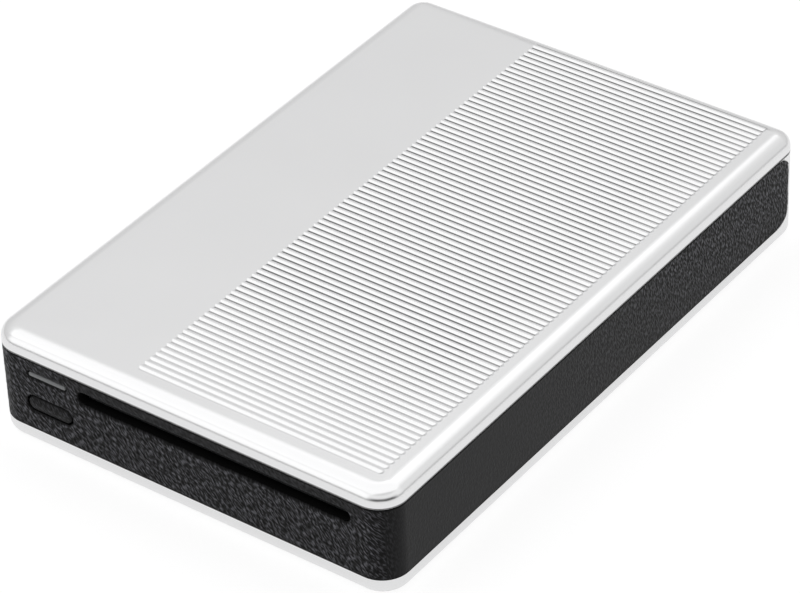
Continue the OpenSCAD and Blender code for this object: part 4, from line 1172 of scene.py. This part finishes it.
@dataclass
class PowerButton:
    """Leather-covered button: a crowned cap on a neck, held by a flange behind the face."""

    edge_r: float = 0.45
    crown: float = 0.16
    flange: float = 0.65
    flange_t: float = 0.55
    # Width over which the rim calms the wrinkles and fades into painted shade.
    rim_shade_and_calm_mm: float = 0.35
    relief: float = 0.45
    strength: float = 0.55
    fold_mm: Span = (0.31, 1.34)

    def build(self, shop: PaintShop) -> bpy.types.Object:
        """Lofts the button from its flange to the middle of its crowned face.

        The edge is a quarter circle, and past it the face rises by the crown times one minus the
        square of what is left of the inset.

        Args:
            shop: Gives the leather.

        Returns:
            The button.
        """
        outer = Stadium.of("power_button")
        low, high = (np.array(corner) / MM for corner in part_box("power_button"))
        turn = np.linspace(0.0, math.pi / 2.0, 7)
        rim = low[1] + self.crown
        edge_in = self.flange + self.edge_r * (1.0 - np.cos(turn))
        edge_y = rim + self.edge_r * (1.0 - np.sin(turn))
        inner = np.linspace(0.15, 0.97, 8)
        crest_in = edge_in[-1] + (outer.height / 2.0 - edge_in[-1]) * inner
        crest_y = rim - self.crown * (1.0 - (1.0 - inner) ** 2)
        back = float(high[1])
        insets = np.concatenate([[0.0, 0.0, self.flange], edge_in, crest_in])
        places = np.concatenate([[back, back - self.flange_t, back - self.flange_t], edge_y, crest_y])
        made = outer.loft("button_cap", insets, places)
        x, _, z = pull(made.data.vertices, "co", width=3).T / MM
        # painted shade: round the rim the stored relief falls to 0, which the leather finish paints dark
        inside = ease(-outer.grown(-self.flange).distance(x, z), 0.0, self.rim_shade_and_calm_mm)
        run = np.stack([(x + z) / self.fold_mm[0], (z - x) / self.fold_mm[1]], axis=-1)
        grade(made.data, self.relief * inside, self.strength * inside, run)
        shop.paint(made, Slot.LEATHER)
        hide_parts("power_button")
        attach(made, Body.BUTTON.value)
        LOG.info("built %s", made.name)
        return made


@dataclass
class StatusLight:
    """Milky light guide with a rounded nose that stands in a dark groove."""

    nose_r: float = 0.30
    slim: float = 0.08
    sunk: float = 0.05

    def build(self, shop: PaintShop) -> bpy.types.Object:
        """Lofts the guide from its lit end to its nose, whose edge is a quarter circle.

        Args:
            shop: Gives the milky plastic.

        Returns:
            The light.
        """
        outer = Stadium.of("light_guide")
        low, high = (np.array(corner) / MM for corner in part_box("light_guide"))
        turn = np.linspace(0.0, math.pi / 2.0, 6)
        nose_in = self.slim + self.nose_r * (1.0 - np.cos(turn))
        nose_y = low[1] + self.sunk + self.nose_r * (1.0 - np.sin(turn))
        made = outer.loft(
            "light_bar",
            np.concatenate([[self.slim], nose_in]),
            np.concatenate([[high[1]], nose_y]),
        )
        shop.paint(made, Slot.LIGHT)
        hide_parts("light_guide")
        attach(made, Body.HOUSING.value)
        LOG.info("built %s", made.name)
        return made


@dataclass
class SlotFace:
    """Everything that the slot face shows: leather, slot, button and light."""

    slot: Stadium = Stadium(5.4, 14.4, 54.3, 2.3)
    lining_t: float = 0.12
    lining_l: float = 2.1
    lining_y: float = 0.45
    mouth_gap: float = 0.05
    button_gap: float = 0.15

    def build(self, shop: PaintShop) -> None:
        """Builds the leather with its openings, then the button and the light in them.

        Args:
            shop: Gives the finishes.
        """
        light = Stadium.of("light_guide", self.mouth_gap)
        button = Stadium.of("power_button", self.mouth_gap + self.button_gap - PowerButton.flange)
        LeatherBand().build(shop, [self.slot.grown(self.mouth_gap), light, button])
        PowerButton().build(shop)
        StatusLight().build(shop)
        self.lining()

    def lining(self) -> bpy.types.Object:
        """Black sleeve in the slot, a dark sheet that stands for the shade inside it: its section is a thin ring,
        carried once round along Y and back inside.

        Returns:
            The lining.
        """
        front = float(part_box("lower_housing")[0][1]) / MM + self.lining_y
        back = front + self.lining_l
        insets = np.array([self.lining_t, 0.0, 0.0, self.lining_t])
        rings = self.slot.rings(insets, np.array([front, front, back, back]))
        count, sides = rings.shape[:2]
        ring, turn = np.meshgrid(np.arange(count), np.arange(sides), indexing="ij")
        steps = ((0, 0), (1, 0), (1, 1), (0, 1))
        quads = np.stack([(ring + r) % count * sides + (turn + t) % sides for r, t in steps], axis=-1)
        made = mesh_piece("slot_shade_sleeve", rings.reshape(-1, 3), quads.reshape(-1, 4).tolist())
        # painted shade: the sleeve is dead black so that the slot shows as shade
        made.data.materials.append(PaintedSlotShade().build("painted_slot_shade"))
        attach(made, Body.HOUSING.value)
        return made


# -------------------------------------------------------------- assemblies


@dataclass
class Assembly:
    """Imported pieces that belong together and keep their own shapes."""

    name: str
    pieces: tuple[str, ...]

    def dress(self, shop: PaintShop, nodes: dict[str, bpy.types.Object]) -> None:
        """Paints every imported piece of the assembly.

        Args:
            shop: Gives the finishes.
            nodes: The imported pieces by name.
        """
        for piece in self.pieces:
            shop.paint(nodes[piece], shop.slots[piece])
        LOG.info("dressed %s: %d pieces", self.name, len(self.pieces))


@dataclass
class SilverShell:
    """A packed silver shell with its facets joined and shaded as the curves they stand for."""

    node: str
    name: str
    body: str
    crease_deg: float = 24.0
    wide_mm2: float = 250.0
    near_deg: float = 9.0

    def weighed(self, made: bpy.types.Object) -> np.ndarray:
        """Directions of the corners, with large faces counting for more than small ones.

        Args:
            made: The shell.

        Returns:
            One direction for each corner of each face.
        """
        weigh = made.modifiers.new("face_weight", "WEIGHTED_NORMAL")
        weigh.keep_sharp, weigh.weight = True, 90
        shown = made.evaluated_get(bpy.context.evaluated_depsgraph_get())
        mesh = shown.to_mesh()
        way = pull(mesh.corner_normals, "vector", width=3)
        shown.to_mesh_clear()
        made.modifiers.remove(weigh)
        return way

    def level(self, made: bpy.types.Object) -> None:
        """Shades the wide flat faces as true planes, and lets the curves next to them start from those planes.

        The edges of the wide faces are made sharp first. Each corner of a wide face takes the face's
        direction. A corner of another face that shares a point with a wide face, and points nearly the
        same way, takes it too.

        Args:
            made: The shell.
        """
        mesh = made.data
        own = np.repeat(np.arange(len(mesh.polygons)), pull(mesh.polygons, "loop_total", np.int32))
        area = pull(mesh.polygons, "area")[own]
        wide = area > self.wide_mm2 * MM * MM
        sharp = pull(mesh.edges, "use_edge_sharp", bool)
        sharp[pull(mesh.loops, "edge_index", np.int32)[wide]] = True
        mesh.edges.foreach_set("use_edge_sharp", sharp)
        face_way = pull(mesh.polygon_normals, "vector", width=3)[own]
        point, way = pull(mesh.loops, "vertex_index", np.int32), self.weighed(made)
        rank = np.argsort(area[wide], kind="stable")
        lead = np.full(len(mesh.vertices), -1, dtype=np.int64)
        lead[point[wide][rank]] = np.flatnonzero(wide)[rank]
        chosen = lead[point]
        target = face_way[np.maximum(chosen, 0)]
        close = math.cos(math.radians(self.near_deg))
        follows = (chosen >= 0) & (np.sum(target * face_way, axis=1) > close)
        way[follows] = target[follows]
        way[wide] = face_way[wide]
        mesh.normals_split_custom_set(way)

    def build(self, shop: PaintShop, nodes: dict[str, bpy.types.Object]) -> bpy.types.Object:
        """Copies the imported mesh, merges its corners and smooths it between creases.

        Args:
            shop: Gives the silver.
            nodes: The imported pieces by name.

        Returns:
            The shell.
        """
        mesh = nodes[self.node].data.copy()
        mesh.name = self.name
        joined = bmesh.new()
        joined.from_mesh(mesh)
        bmesh.ops.remove_doubles(joined, verts=joined.verts, dist=0.0005 * MM)
        bmesh.ops.dissolve_limit(joined, angle_limit=math.radians(0.3), verts=joined.verts, edges=joined.edges)
        joined.to_mesh(mesh)
        joined.free()
        mesh.polygons.foreach_set("use_smooth", np.ones(len(mesh.polygons), dtype=bool))
        mesh.set_sharp_from_angle(angle=math.radians(self.crease_deg))
        made = placed(self.name, mesh)
        self.level(made)
        shop.paint(made, Slot.SILVER)
        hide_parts(self.node)
        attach(made, self.body)
        return made


SHELLS: tuple[SilverShell, ...] = (
    SilverShell("top_cover", "cover_shell", "cover"),
    SilverShell("lower_housing", "base_shell", "housing"),
)

ASSEMBLIES: tuple[Assembly, ...] = (
    Assembly(
        "cover",
        (
            "top_cover", "cover_liner", "pressure_plate", "pressure_pin", "pressure_springs",
            "cover_magnets", "hinge_pins",
        ),
    ),
    Assembly("housing", ("lower_housing", "inner_deck", "deck_magnets", "paper_tray", "case_screws")),
    Assembly(
        "print engine",
        (
            "engine_frame", "engine_screws", "lower_guide", "upper_guide", "platen_shaft", "platen_rubber",
            "platen_bushes", "pickup_shaft", "pickup_tyres", "pickup_bushes", "exit_shaft", "exit_tyres",
            "exit_bushes", "pinch_shaft", "pinch_rollers", "thermal_head", "heat_sink", "head_bracket",
            "head_pivot_rod", "head_springs", "sensor_lever", "sensor_pin",
        ),
    ),
    Assembly(
        "drive",
        (
            "platen_gear", "pickup_gear", "exit_gear", "exit_idler_gear", "link_gear", "step_gear",
            "motor_pinion", "motor_shaft", "motor_can", "motor_bracket",
        ),
    ),
    Assembly(
        "electronics",
        (
            "paper_sensor", "battery", "main_board", "shield_can", "board_chips", "board_screws",
            "usb_socket", "key_board", "power_switch", "switch_stem", "status_leds",
        ),
    ),
)


# ------------------------------------------------------------------- studio


@dataclass
class Camera:
    """The photograph's camera, as fitted to the printer's edges."""

    azimuth_deg: float = 37.41975
    elevation_deg: float = 36.73855
    roll_deg: float = -2.39727
    distance_mm: float = 685.897
    aside_mm: float = -1.357
    upward_mm: float = 5.067
    focal_px: float = 4051.53
    sensor_mm: float = 36.0

    def build(self) -> bpy.types.Object:
        """Places the camera and makes it the scene's own.

        Returns:
            The camera.
        """
        az, el = math.radians(self.azimuth_deg), math.radians(self.elevation_deg)
        tilt = math.radians(self.roll_deg)
        back = Vector((math.sin(az) * math.cos(el), -math.cos(az) * math.cos(el), math.sin(el)))
        level = Vector((math.cos(az), math.sin(az), 0.0))
        upright = back.cross(level)
        right = math.cos(tilt) * level + math.sin(tilt) * upright
        up = math.cos(tilt) * upright - math.sin(tilt) * level
        data = bpy.data.cameras.new("photo_camera")
        data.sensor_width = self.sensor_mm
        data.lens = self.focal_px * self.sensor_mm / PHOTO_WIDTH_PX
        data.clip_start = 0.01
        made = placed("photo_camera", data)
        place = (back * self.distance_mm + right * self.aside_mm + up * self.upward_mm) * MM
        made.matrix_world = Matrix.Translation(place) @ Matrix((right, up, back)).transposed().to_4x4()
        bpy.context.scene.camera = made
        return made


@dataclass
class Lamp:
    """One soft panel of light."""

    name: str
    place_mm: Colour
    aim_mm: Colour
    size_mm: tuple[float, float]
    power_w: float

    def build(self) -> bpy.types.Object:
        """Makes the panel, turned to its aim.

        Returns:
            The lamp.
        """
        data = bpy.data.lights.new(self.name, "AREA")
        data.shape = "RECTANGLE"
        data.size, data.size_y = self.size_mm[0] * MM, self.size_mm[1] * MM
        data.energy = self.power_w
        made = placed(self.name, data)
        made.location = Vector(self.place_mm) * MM
        aim = Vector(self.aim_mm) - Vector(self.place_mm)
        made.rotation_euler = aim.to_track_quat("-Z", "Y").to_euler()
        return made


@dataclass
class Studio:
    """Pale floor, soft surroundings and panels."""

    floor_half_mm: float = 4000.0
    ambient: float = 0.62
    paper: Span = (0.92, 0.94)
    shown_paper: float = 0.32
    mirrored_glow: float = 0.90
    glow: float = 0.81
    dark_z: float = 0.42
    dark_gain: float = 6.0
    front_stops: tuple[Span, ...] = (
        (0.0, 0.16), (0.09, 0.46), (0.20, 0.98), (0.45, 1.02), (0.70, 1.00), (0.82, 0.72), (1.0, 0.70),
    )
    rear_stops: tuple[Span, ...] = (
        (0.0, 0.66), (0.2, 0.74), (0.42, 0.80), (0.60, 0.85), (0.74, 0.92), (0.84, 0.68), (1.0, 0.68),
    )
    lamps: tuple[Lamp, ...] = (
        Lamp("overhead_panel", (-100.0, 60.0, 900.0), (0.0, 0.0, 0.0), (1500.0, 1200.0), 2.9),
        Lamp("front_panel", (-500.0, -800.0, 500.0), (0.0, 0.0, 10.0), (900.0, 700.0), 0.5),
    )

    def build(self) -> None:
        """Makes the floor, the world and the lamps."""
        h = self.floor_half_mm * MM
        mesh = bpy.data.meshes.new("floor")
        mesh.from_pydata([(-h, -h, 0.0), (h, -h, 0.0), (h, h, 0.0), (-h, h, 0.0)], [], [(0, 1, 2, 3)])
        floor = placed("floor", mesh)
        mesh.materials.append(self.floor_material())
        self.world()
        for lamp in self.lamps:
            lamp.build()

    def floor_material(self) -> bpy.types.Material:
        """White paper that stays white to the camera outside the shadow.

        Returns:
            The material.
        """
        material = bpy.data.materials.new("floor_paper")
        material.use_nodes = True
        graph = Graph(material.node_tree)
        rays = graph.node("ShaderNodeLightPath")
        mirrored = graph.out(rays, "Is Glossy Ray")
        shown = (graph.out(rays, "Is Camera Ray") + graph.out(rays, "Is Transmission Ray") + mirrored).clamped()
        grain = graph.noise(graph.object_place(), 0.5, 2.0)
        tone = graph.blend(grain, *((level,) * 3 for level in self.paper))
        paper = graph.node("ShaderNodeBsdfDiffuse", None, {"Color": tone})
        faint = graph.node("ShaderNodeBsdfDiffuse", None, {"Color": (self.shown_paper,) * 3})
        level = graph.blend(mirrored, (1.0, 1.0, 1.0), (self.mirrored_glow,) * 3)
        glow = graph.node("ShaderNodeEmission", None, {"Color": level, "Strength": self.glow})
        lit = graph.node("ShaderNodeAddShader", None, {0: graph.out(faint), 1: graph.out(glow)})
        inputs = {0: shown, 1: graph.out(paper), 2: graph.out(lit)}
        both = graph.node("ShaderNodeMixShader", None, inputs)
        graph.node("ShaderNodeOutputMaterial", None, {"Surface": graph.out(both)})
        return material

    def ramp(self, graph: Graph, place: Sock, stops: tuple[Span, ...]) -> Sock:
        """Grey that follows stops of place, from 0 at the horizon to 1 overhead, and level."""
        greys = [(at, (level, level, level)) for at, level in stops]
        return graph.out(graph.node("ShaderNodeValToRGB", {"stops": greys}, {"Fac": place}), "Color")

    def world(self) -> None:
        """White to the camera, and a soft room for light and reflections."""
        world = bpy.data.worlds.new("studio_room")
        bpy.context.scene.world = world
        world.use_nodes = True
        graph = Graph(world.node_tree)
        toward = graph.out(graph.node("ShaderNodeTexCoord"), "Generated")
        x, y, z = graph.parts(toward)
        height = z.clamped()
        behind = (y * 0.79 - x * 0.61 + 0.15) * 2.2
        front = self.ramp(graph, height, self.front_stops)
        rear = self.ramp(graph, height, self.rear_stops)
        ahead = (x * 0.72 - y * 0.69 - 0.55) * 4.0
        low = (self.dark_z - z) * self.dark_gain
        room = graph.blend(behind.clamped(), front, rear)
        room = graph.blend(ahead.clamped() * low.clamped(), room, (0.01, 0.01, 0.01))
        rays = graph.node("ShaderNodeLightPath")
        soft = graph.node("ShaderNodeBackground", None, {"Color": room, "Strength": 1.0})
        diffuse = graph.node("ShaderNodeBackground", None, {"Color": room, "Strength": self.ambient})
        white = graph.node("ShaderNodeBackground", None, {"Color": (1.0, 1.0, 1.0), "Strength": 1.0})
        shiny = graph.out(rays, "Is Glossy Ray")
        clear = graph.out(rays, "Is Transmission Ray")
        inputs = {0: (shiny + clear).clamped(), 1: graph.out(diffuse), 2: graph.out(soft)}
        lit = graph.node("ShaderNodeMixShader", None, inputs)
        inputs = {0: graph.out(rays, "Is Camera Ray"), 1: graph.out(lit), 2: graph.out(white)}
        shown = graph.node("ShaderNodeMixShader", None, inputs)
        graph.node("ShaderNodeOutputWorld", None, {"Surface": graph.out(shown)})


def corners(bounds: tuple[Vector, Vector]) -> list[list[float]]:
    """Two corners as plain lists."""
    return [[float(value) for value in corner] for corner in bounds]


def main() -> None:
    """Builds the looks piece by piece."""
    logging.basicConfig(level=logging.INFO, format="%(message)s")
    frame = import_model()
    bpy.context.scene.view_settings.view_transform = "Standard"
    Camera().build()
    Studio().build()
    shop = PaintShop(frame["record"]["subparts"])
    for assembly in ASSEMBLIES:
        assembly.dress(shop, frame["nodes"])
    for shell in SHELLS:
        shell.build(shop, frame["nodes"])
    SlotFace().build(shop)


if __name__ == "__main__":
    main()
